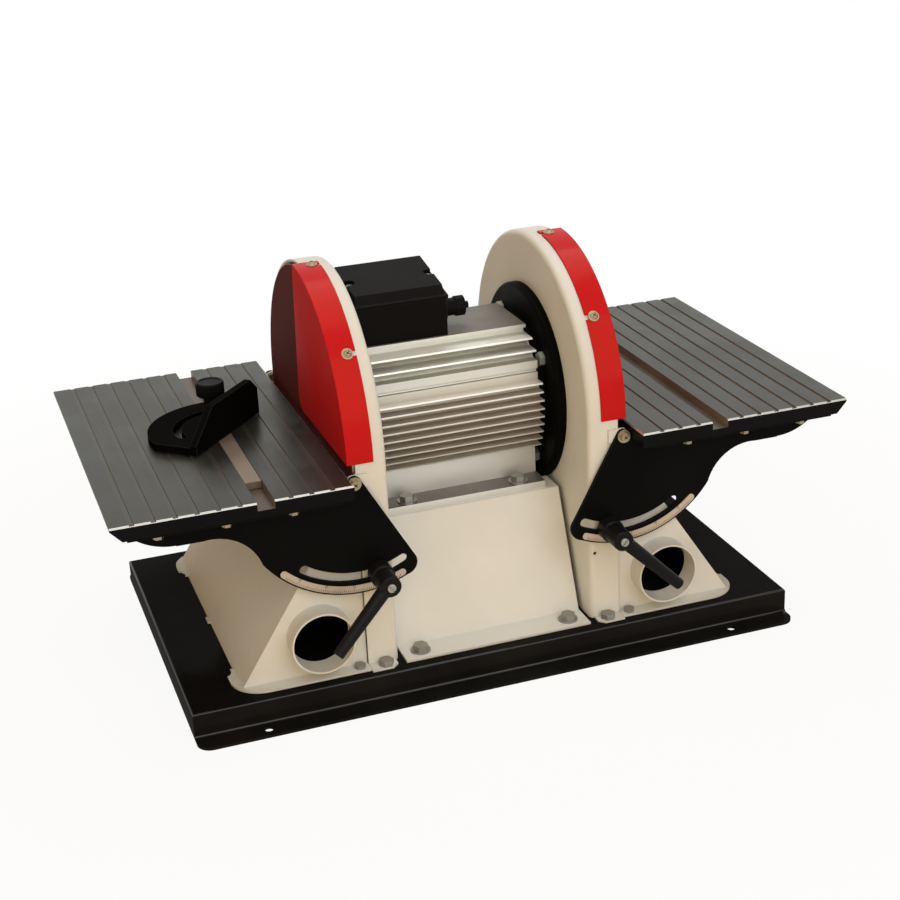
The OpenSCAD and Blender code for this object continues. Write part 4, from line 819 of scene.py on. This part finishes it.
class SANDER_OT_fasteners(bpy.types.Operator):
    """Finish the bolts and screws, model the slots of their heads, and lay dark crosses on them as painted
    shade of cross recesses
    """

    bl_idname = "sander.fasteners"
    bl_label = "Fastener finishes"
    sides = 48
    shank_r = 2.5 * MM
    head_ease = 0.5 * MM
    cross_sink = 0.7
    slot_lean = math.radians(50.0)

    def execute(self, context):
        pick = colours()
        plated = {"fineness": 260.0, "edge": sizes().fine_edge}
        zinc = metal("Zinc plate", pick.zinc, 0.46, depth=0.12, spread=0.16, bare=0.75, **plated)
        yellow = metal(
            "Yellow zinc plate", pick.yellow_zinc, 0.34, depth=0.10, spread=0.18, bare=0.85, **plated
        )
        dark = metal("Blackened steel", pick.dark_steel, 0.4, fineness=400.0)
        shadow = painted("Recess shadow", pick.recess, 0.6, spread=0.2, shine=0.05)
        dress(zinc, "bell_bolts", "motor_foot_bolts", "pedestal_bolts", "housing_bolts", "chute_bolts")
        dress(zinc, "lid_screws")
        dress(yellow, "guard_screws", "pivot_screws", *both("table_screws"))
        dress(dark, "hub_set_screws")
        self.cap_screws(zinc)
        self.crosses("guard_screws", shadow, lambda middle: Vector((0.0, middle.y, middle.z - SHAFT_Z)))
        self.crosses("pivot_screws", shadow, lambda middle: Vector((0.0, middle.y, 0.0)))
        return {"FINISHED"}

    def cap_screws(self, zinc):
        """Slotted screws that hold the clamp levers: one is modelled, and a copy goes to each lever."""
        bounds = [extent(points) for points in self.screws("lever_cap_screws")]
        low, high = bounds[0]
        pattern = self.slotted_screw(high.y - low.y - sizes().cap_h)
        parts = []
        for low, high in bounds:
            seat = (low + high) / 2
            side = math.copysign(1.0, seat.y)
            seat.y = high.y if side > 0 else low.y
            lean = -math.copysign(self.slot_lean, seat.x)
            turn = Matrix.Rotation(lean, 4, "Y") @ Matrix.Rotation(-side * math.pi / 2, 4, "X")
            parts.append(copy_to(pattern, Matrix.Translation(seat) @ turn))
        remove(pattern)
        piece = join_pieces(parts, "lever_cap_screws_slotted")
        finish_piece(piece, zinc, "stand")
        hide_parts("lever_cap_screws")

    def slotted_screw(self, shank):
        """A screw that looks up, with the top of its head at the origin."""
        size = sizes()
        screw = cylinder(size.cap_head, size.cap_h, (0.0, 0.0, -size.cap_h / 2), self.sides)
        bpy.ops.object.transform_apply()
        select_parts(screw, screw.data.polygons, lambda face: face.normal.z < -0.9)
        bpy.ops.mesh.inset(thickness=size.cap_head - self.shank_r)
        bpy.ops.mesh.extrude_region_move(TRANSFORM_OT_translate={"value": (0.0, 0.0, -shank)})
        bpy.ops.object.mode_set(mode="OBJECT")
        ease_edges(screw, self.head_ease, 3)
        cutter = block(3 * size.cap_head, size.cap_slot, 2 * size.cap_slot)
        cut = screw.modifiers.new("Slot", "BOOLEAN")
        cut.operation = "DIFFERENCE"
        cut.object = cutter
        apply_all(screw)
        remove(cutter)
        return screw

    def crosses(self, node, shadow, outward):
        """A dark cross on each screw head of a node, painted shade that stands in for a cross recess, facing
        the way that outward gives for its middle.
        """
        pattern = self.cross()
        parts = []
        for points in self.screws(node):
            look = outward(sum(points, Vector()) / len(points)).normalized()
            reach = max(point.dot(look) for point in points)
            crown = [point for point in points if point.dot(look) > reach - ROUNDING]
            seat = sum(crown, Vector()) / len(crown) - look * self.cross_sink * sizes().tick_h
            turn = turn_to(look).to_matrix().to_4x4()
            parts.append(copy_to(pattern, Matrix.Translation(seat) @ turn))
        remove(pattern)
        piece = join_pieces(parts, f"{node}_crosses")
        finish_piece(piece, shadow, "stand")

    def cross(self):
        """Two crossed arms with eased edges, flat at the origin."""
        size = sizes()
        arm = block(size.cross_l, size.cross_w, 2 * size.tick_h)
        ease_edges(arm, size.tick_h / 2)
        arms = [copy_to(arm, Matrix.Rotation(turn, 4, "Z")) for turn in (0.25 * math.pi, 0.75 * math.pi)]
        remove(arm)
        return join_pieces(arms, "cross_pattern")

    def screws(self, node):
        """The points of each separate screw of a node, from a copy that is then removed."""
        merged_copy(node, f"{node}_loose")
        bpy.ops.mesh.separate(type="LOOSE")
        bpy.ops.object.mode_set(mode="OBJECT")
        copies = list(bpy.context.selected_objects)
        found = [[item.matrix_world @ vertex.co for vertex in item.data.vertices] for item in copies]
        bpy.ops.object.delete()
        if not found:
            raise RuntimeError(f"{node} has no screws")
        return found


class SANDER_OT_clamp_levers(bpy.types.Operator):
    """Model the four clamp levers as blended mouldings"""

    bl_idname = "sander.clamp_levers"
    bl_label = "Clamp levers"
    hub_r = 10.4 * MM
    skirt_r = 12 * MM
    skirt_l = 15 * MM
    # How far the hub, the root of the arm and its tip stand back from what is in front of them
    hub_back = 1.7 * MM
    root_back = 0.4 * MM
    tip_back = 0.9 * MM
    tip_share = 0.75
    sides = 64
    ball_sides = 48

    def execute(self, context):
        moulded = painted("Lever plastic", colours().plastic, 0.36, depth=0.08, spread=0.25, shine=0.10)
        pattern = self.lever(sizes())
        for side, flip_x in (("left", 1.0), ("right", -1.0)):
            for end, flip_y in (("front", 1.0), ("rear", -1.0)):
                name = f"{side}_{end}_lever"
                copy = copy_to(pattern, Matrix.Diagonal((flip_x, flip_y, 1.0, 1.0)))
                piece = join_pieces([copy], f"{name}_moulding")
                face_outwards(piece)
                finish_piece(piece, moulded, f"{side}_{end}_clamp", smooth=60.0)
                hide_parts(name)
        remove(pattern)
        return {"FINISHED"}

    def lever(self, size):
        """The left front lever: hub, skirt and tapering arm with a flat end, blended into one skin."""
        low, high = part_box("left_front_lever")
        hub = Vector(JOINTS["left_front_lever_turn"]["pos_m"])
        front = low.y + 2 * size.lever_tip + self.hub_back
        hub_l = high.y - front
        root = Vector((hub.x, front + size.lever_root + self.root_back, hub.z))
        tip = Vector((low.x, low.y + size.lever_tip + self.tip_back, low.z))
        tip += Vector((self.tip_share * size.lever_tip, 0.0, self.tip_share * size.lever_tip))
        arm = tip - root
        skirt_at = (hub.x, high.y - self.skirt_l / 2, hub.z)
        hub_at = (hub.x, high.y - hub_l / 2, hub.z)
        arm_turn = turn_to(arm).to_euler()
        parts = [
            cylinder(self.skirt_r, self.skirt_l, skirt_at, self.sides, TO_FRONT),
            cylinder(self.hub_r, hub_l, hub_at, self.sides, TO_FRONT),
            cone(size.lever_root, size.lever_tip, arm.length, (root + tip) / 2, self.sides, arm_turn),
        ]
        bpy.ops.mesh.primitive_uv_sphere_add(
            segments=self.ball_sides, ring_count=self.ball_sides // 2, radius=size.lever_root, location=root
        )
        parts.append(bpy.context.object)
        piece = join_pieces(parts, "lever_pattern")
        self.blend(piece, size)
        return piece

    def blend(self, piece, size):
        """Makes one smooth skin of joined forms."""
        grid = piece.modifiers.new("Blend", "REMESH")
        grid.mode = "VOXEL"
        grid.voxel_size = size.lever_voxel
        ease = piece.modifiers.new("Ease", "SMOOTH")
        ease.factor = 0.5
        ease.iterations = 10
        thin = piece.modifiers.new("Thin", "DECIMATE")
        thin.ratio = 0.35
        apply_all(piece)


class SANDER_OT_scale_marks(bpy.types.Operator):
    """Add the ticks and figures of the angle scales"""

    bl_idname = "sander.scale_marks"
    bl_label = "Scale marks"
    lengths = (2.2 * MM, 3.0 * MM, 4.0 * MM)
    # Reach from the tilt pivot of the outer ends of the ticks and of the middle of the figures
    tick_reach = 111.4 * MM
    figure_reach = tick_reach - 5.6 * MM
    # Angles in degrees, with the zero mark counted from the table's plane
    zero_angle = 101.0
    ticked = range(-10, 53)
    figured = (0, 15, 30, 45)

    def execute(self, context):
        size = sizes()
        ink = painted("Scale ink", colours().ink, 0.5, spread=0.2)
        ticks = [self.tick(length, size) for length in self.lengths]
        for side, flip in (("left", -1), ("right", 1)):
            self.marks(side, flip, size, ticks, ink)
        for tick in ticks:
            remove(tick)
        return {"FINISHED"}

    def tick(self, length, size):
        """A tick of one length with eased edges, flat at the origin."""
        tick = block(size.tick_w, length, 2 * size.tick_h)
        ease_edges(tick, size.tick_h / 2)
        return tick

    def marks(self, side, flip, size, ticks, ink):
        """Ticks each degree, longer at fives and fifteens, with figures, round the tilt pivot."""
        pivot = Vector(JOINTS[f"{side}_tilt"]["pos_m"])
        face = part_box(f"{side}_angle_scale")[0].y
        parts = []
        for tilt in self.ticked:
            kind = 2 if tilt % 15 == 0 else 1 if tilt % 5 == 0 else 0
            place = self.place(pivot, self.tick_reach - self.lengths[kind] / 2, face, tilt, flip)
            parts.append(copy_to(ticks[kind], place))
        for tilt in self.figured:
            place = self.place(pivot, self.figure_reach, face, tilt, flip)
            parts.append(self.figure(str(tilt), size, place))
        piece = join_pieces(parts, f"{side}_scale_marks")
        finish_piece(piece, ink, f"{side}_table_group")

    def figure(self, words, size, place):
        """A raised figure, as a mesh."""
        bpy.ops.object.text_add()
        figure = bpy.context.object
        figure.data.body = words
        figure.data.size = size.figure
        figure.data.align_x = "CENTER"
        figure.data.align_y = "CENTER"
        figure.data.extrude = size.tick_h
        figure.matrix_world = place
        bpy.ops.object.convert(target="MESH")
        return bpy.context.object

    def place(self, pivot, reach, face, tilt, flip):
        """Where a mark stands at a tilt: on the face of the strip, its top towards the pivot."""
        angle = math.radians(self.zero_angle - tilt)
        if flip < 0:
            angle = math.pi - angle
        out = Vector((math.cos(angle), 0.0, -math.sin(angle)))
        right = Vector((math.sin(angle), 0.0, math.cos(angle)))
        seat = pivot + out * reach
        seat.y = face
        return Matrix.Translation(seat) @ Matrix((right, -out, (0.0, -1.0, 0.0))).transposed().to_4x4()


class SANDER_OT_mitre_gauge(bpy.types.Operator):
    """Finish the mitre gauge and model its ribbed lock knob"""

    bl_idname = "sander.mitre_gauge"
    bl_label = "Mitre gauge"
    head_h = 13 * MM
    head_ease = 0.5 * MM
    rib_h = 0.7 * MM
    rib_slope = 0.35 * MM
    rim_w = 1.6 * MM
    dish_slope = 1.2 * MM
    dish_depth = 0.9 * MM
    stem_sides = 48
    stem_foot_r = 6.5 * MM
    stem_neck_r = 8.2 * MM
    stem_ease = 0.8 * MM
    stud_sides = 32
    stud_r = 3.5 * MM
    stud_ease = 0.6 * MM

    def execute(self, context):
        pick = colours()
        casting = painted(
            "Mitre head paint", pick.black, 0.42, grain=500.0, depth=0.14, spread=0.25, gloss=0.02,
            shine=0.0, wear_and_highlight=0.8,
        )
        bar = metal("Mitre bar steel", pick.bar, 0.42, along=(1.0, 0.04, 1.0), fineness=700.0, bare=0.45)
        moulded = painted("Knob plastic", pick.plastic, 0.40, depth=0.08, spread=0.25, shine=0.04)
        dress(casting, "mitre_head")
        dress(bar, "mitre_bar")
        self.knob(moulded)
        return {"FINISHED"}

    def knob(self, moulded):
        """Lock knob: ribbed round head on a stem and a threaded stud."""
        low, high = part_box("mitre_knob")
        x, y, seat = JOINTS["mitre_knob_turn"]["pos_m"]
        neck = high.z - self.head_h
        head = self.head((high.x - low.x) / 2, (x, y, high.z - self.head_h / 2))
        stem_at = (x, y, (neck + seat) / 2)
        stem = cone(self.stem_foot_r, self.stem_neck_r, neck - seat, stem_at, self.stem_sides)
        ease_edges(stem, self.stem_ease, 2)
        stud = cylinder(self.stud_r, seat - low.z, (x, y, (seat + low.z) / 2), self.stud_sides)
        ease_edges(stud, self.stud_ease)
        piece = join_pieces([head, stem, stud], "mitre_knob_moulding")
        finish_piece(piece, moulded, "mitre_lock", smooth=35.0)
        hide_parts("mitre_knob")

    def head(self, radius, middle):
        """Head of the knob, with ribs all round and a dished top."""
        ribs = sizes().knob_ribs
        head = cylinder(radius - self.rib_h, self.head_h, middle, 2 * ribs)

        def ribbed(face):
            turn = math.atan2(face.normal.y, face.normal.x) / math.pi * ribs
            return abs(face.normal.z) < 0.5 and round(turn - 0.5) % 2 == 0

        select_parts(head, head.data.polygons, ribbed)
        bpy.ops.mesh.inset(thickness=self.rib_slope, depth=self.rib_h, use_individual=True)
        bpy.ops.object.mode_set(mode="OBJECT")
        select_parts(head, head.data.polygons, lambda face: face.normal.z > 0.9)
        bpy.ops.mesh.inset(thickness=self.rim_w, depth=0.0)
        bpy.ops.mesh.inset(thickness=self.dish_slope, depth=-self.dish_depth)
        bpy.ops.object.mode_set(mode="OBJECT")
        ease_edges(head, self.head_ease, 2, 50.0)
        return head


class SANDER_OT_switch(bpy.types.Operator):
    """Finish the switch and mark its buttons"""

    bl_idname = "sander.switch"
    bl_label = "Switch"
    bar_size = (2 * MM, 9 * MM, 0.5 * MM)
    bar_ease = 0.2 * MM
    ring_r = 4 * MM
    ring_w = 0.9 * MM
    ring_flatness = 0.3
    ring_steps = 40
    ring_sides = 8

    def execute(self, context):
        pick = colours()
        moulded = painted("Switch plastic", pick.plastic, 0.42, depth=0.12, spread=0.2, dust=0.05)
        button = {"grain": 800.0, "depth": 0.05, "spread": 0.08}
        green = painted("Green button plastic", pick.start, 0.30, **button)
        red = painted("Red button plastic", pick.stop, 0.30, **button)
        white = painted("Button mark", pick.mark, 0.5, spread=0.05)
        dress(moulded, "switch_box", "switch_plate")
        dress(green, "start_button")
        dress(red, "stop_button")
        self.bar_mark(white)
        self.ring_mark(white)
        return {"FINISHED"}

    def face(self, joint, node):
        """Middle of a button's face and the turn that looks out of it."""
        out = -Vector(JOINTS[joint]["axis"]).normalized()
        low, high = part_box(node)
        middle = (low + high) / 2
        reach = max(vertex.co.dot(out) for vertex in NODES[node].data.vertices)
        return middle + out * (reach - middle.dot(out)), turn_to(out).to_euler()

    def bar_mark(self, white):
        """Raised bar on the start button."""
        bar = block(*self.bar_size)
        bar.location, bar.rotation_euler = self.face("start_push", "start_button")
        piece = join_pieces([bar], "start_button_mark")
        ease_edges(piece, self.bar_ease, 2)
        finish_piece(piece, white, "start")

    def ring_mark(self, white):
        """Raised ring on the stop button."""
        bpy.ops.mesh.primitive_torus_add(
            major_segments=self.ring_steps,
            minor_segments=self.ring_sides,
            major_radius=self.ring_r,
            minor_radius=self.ring_w,
        )
        ring = bpy.context.object
        ring.scale = (1.0, 1.0, self.ring_flatness)
        ring.location, ring.rotation_euler = self.face("stop_push", "stop_button")
        piece = join_pieces([ring], "stop_button_mark")
        ease = piece.modifiers.new("Ease", "SUBSURF")
        ease.levels = 1
        ease.render_levels = 1
        apply_all(piece)
        finish_piece(piece, white, "stop")


class SANDER_OT_stage(bpy.types.Operator):
    """Set up the floor, lamps, sky and camera"""

    bl_idname = "sander.stage"
    bl_label = "Studio"
    # Sizes and places in metres
    floor_w = 14.0
    floor_drop = 0.4 * MM
    shadow_fade = (0.40, 1.1)
    near_white = 0.93
    lamp_aim = (0.0, 0.0, 0.2)
    key_w = 2.5
    fill_w = 1.4
    top_w = 2.0

    def execute(self, context):
        studio = context.scene.sander_studio
        self.floor(studio)
        self.sky(context, studio)
        self.lamp(context, "Key lamp", studio.key_place, self.key_w, studio.key, studio.key_tint)
        self.lamp(context, "Fill lamp", studio.fill_place, self.fill_w, studio.fill, studio.fill_tint)
        self.lamp(context, "Top lamp", studio.top_place, self.top_w, studio.top, studio.top_tint)
        self.camera(context, studio)
        context.scene.view_settings.view_transform = "Standard"
        return {"FINISHED"}

    def floor(self, studio):
        """Pale floor that stays white to the camera and keeps the shadow."""
        bpy.ops.mesh.primitive_plane_add(size=self.floor_w, location=(0.0, 0.0, -self.floor_drop))
        ground = bpy.context.object
        ground.name = "studio_floor"
        material = bpy.data.materials.new("Studio floor")
        material.use_nodes = True
        tree = material.node_tree
        shader = tree.nodes["Principled BSDF"]
        wire(tree, shader, Base_Color=studio.floor, Roughness=0.7)
        glow = add_node(tree, "ShaderNodeEmission", Strength=1.0)
        blend = tree.nodes.new("ShaderNodeMixShader")
        reach = tree.nodes.new("ShaderNodeVectorMath")
        reach.operation = "LENGTH"
        tree.links.new(coords(tree), reach.inputs[0])
        fade = span(tree, reach.outputs["Value"], *self.shadow_fade, self.near_white, 1.0)
        tree.links.new(times(tree, self.shown(tree), fade), blend.inputs[0])
        tree.links.new(shader.outputs[0], blend.inputs[1])
        tree.links.new(glow.outputs[0], blend.inputs[2])
        tree.links.new(blend.outputs[0], tree.nodes["Material Output"].inputs["Surface"])
        ground.data.materials.append(material)

    def shown(self, tree):
        """Whether the camera sees the background, straight or in metal or glass."""
        rays = tree.nodes.new("ShaderNodeLightPath").outputs
        kinds = ("Is Camera Ray", "Is Glossy Ray", "Is Transmission Ray")
        return maths(tree, "MAXIMUM", *(rays[kind] for kind in kinds))

    def sky(self, context, studio):
        """Even light from all round that the camera and metal see as white."""
        world = bpy.data.worlds.new("Studio sky")
        world.use_nodes = True
        context.scene.world = world
        tree = world.node_tree
        back = tree.nodes["Background"]
        shown = self.shown(tree)
        tint = mix(tree, shown, studio.sky_tint, (1.0, 1.0, 1.0))
        wire(tree, back, Color=tint, Strength=span(tree, shown, 0.0, 1.0, studio.sky, 1.0))

    def lamp(self, context, name, place, width, power, tint):
        """A square soft lamp that looks at the machine."""
        data = bpy.data.lights.new(name, "AREA")
        data.energy = power
        data.color = tint
        data.size = width
        item = bpy.data.objects.new(name, data)
        item.location = place
        item.rotation_euler = (Vector(self.lamp_aim) - Vector(place)).to_track_quat("-Z", "Y").to_euler()
        context.scene.collection.objects.link(item)

    def camera(self, context, studio):
        """Camera at the viewing angle of the photograph."""
        turn = Matrix.Rotation(-studio.yaw, 4, "Z")
        turn @= Matrix.Rotation(math.pi / 2 - studio.pitch, 4, "X")
        turn @= Matrix.Rotation(studio.roll, 4, "Z")
        data = bpy.data.cameras.new("Studio camera")
        data.sensor_width = studio.sensor
        data.lens = studio.lens
        item = bpy.data.objects.new("Studio camera", data)
        item.matrix_world = Matrix.Translation(studio.eye) @ turn
        context.scene.collection.objects.link(item)
        context.scene.camera = item


class SANDER_PT_panel(bpy.types.Panel):
    """Lists the steps that finish the sander"""

    bl_idname = "SANDER_PT_panel"
    bl_label = "Twin disc sander"
    bl_space_type = "VIEW_3D"
    bl_region_type = "UI"
    bl_category = "Sander"

    def draw(self, context):
        for step in STEPS:
            self.layout.operator(step.bl_idname)


STEPS = (
    SANDER_OT_sheet_metal,
    SANDER_OT_base_pan,
    SANDER_OT_motor,
    SANDER_OT_discs,
    SANDER_OT_tables,
    SANDER_OT_fasteners,
    SANDER_OT_clamp_levers,
    SANDER_OT_scale_marks,
    SANDER_OT_mitre_gauge,
    SANDER_OT_switch,
    SANDER_OT_stage,
)
SETTINGS = (
    ("sander_colours", SanderColours),
    ("sander_sizes", SanderSizes),
    ("sander_studio", SanderStudio),
)


def register():
    """Registers the settings, the steps and the panel."""
    for name, group in SETTINGS:
        bpy.utils.register_class(group)
        setattr(bpy.types.Scene, name, PointerProperty(type=group))
    for step in (*STEPS, SANDER_PT_panel):
        bpy.utils.register_class(step)


def unregister():
    """Takes out what register put in."""
    for step in (SANDER_PT_panel, *reversed(STEPS)):
        bpy.utils.unregister_class(step)
    for name, group in reversed(SETTINGS):
        delattr(bpy.types.Scene, name)
        bpy.utils.unregister_class(group)


def main():
    """Runs the steps in order."""
    register()
    build_groups()
    bpy.ops.sander.sheet_metal()
    bpy.ops.sander.base_pan()
    bpy.ops.sander.motor()
    bpy.ops.sander.discs()
    bpy.ops.sander.tables()
    bpy.ops.sander.fasteners()
    bpy.ops.sander.clamp_levers()
    bpy.ops.sander.scale_marks()
    bpy.ops.sander.mitre_gauge()
    bpy.ops.sander.switch()
    bpy.ops.sander.stage()


if __name__ == "__main__":
    main()
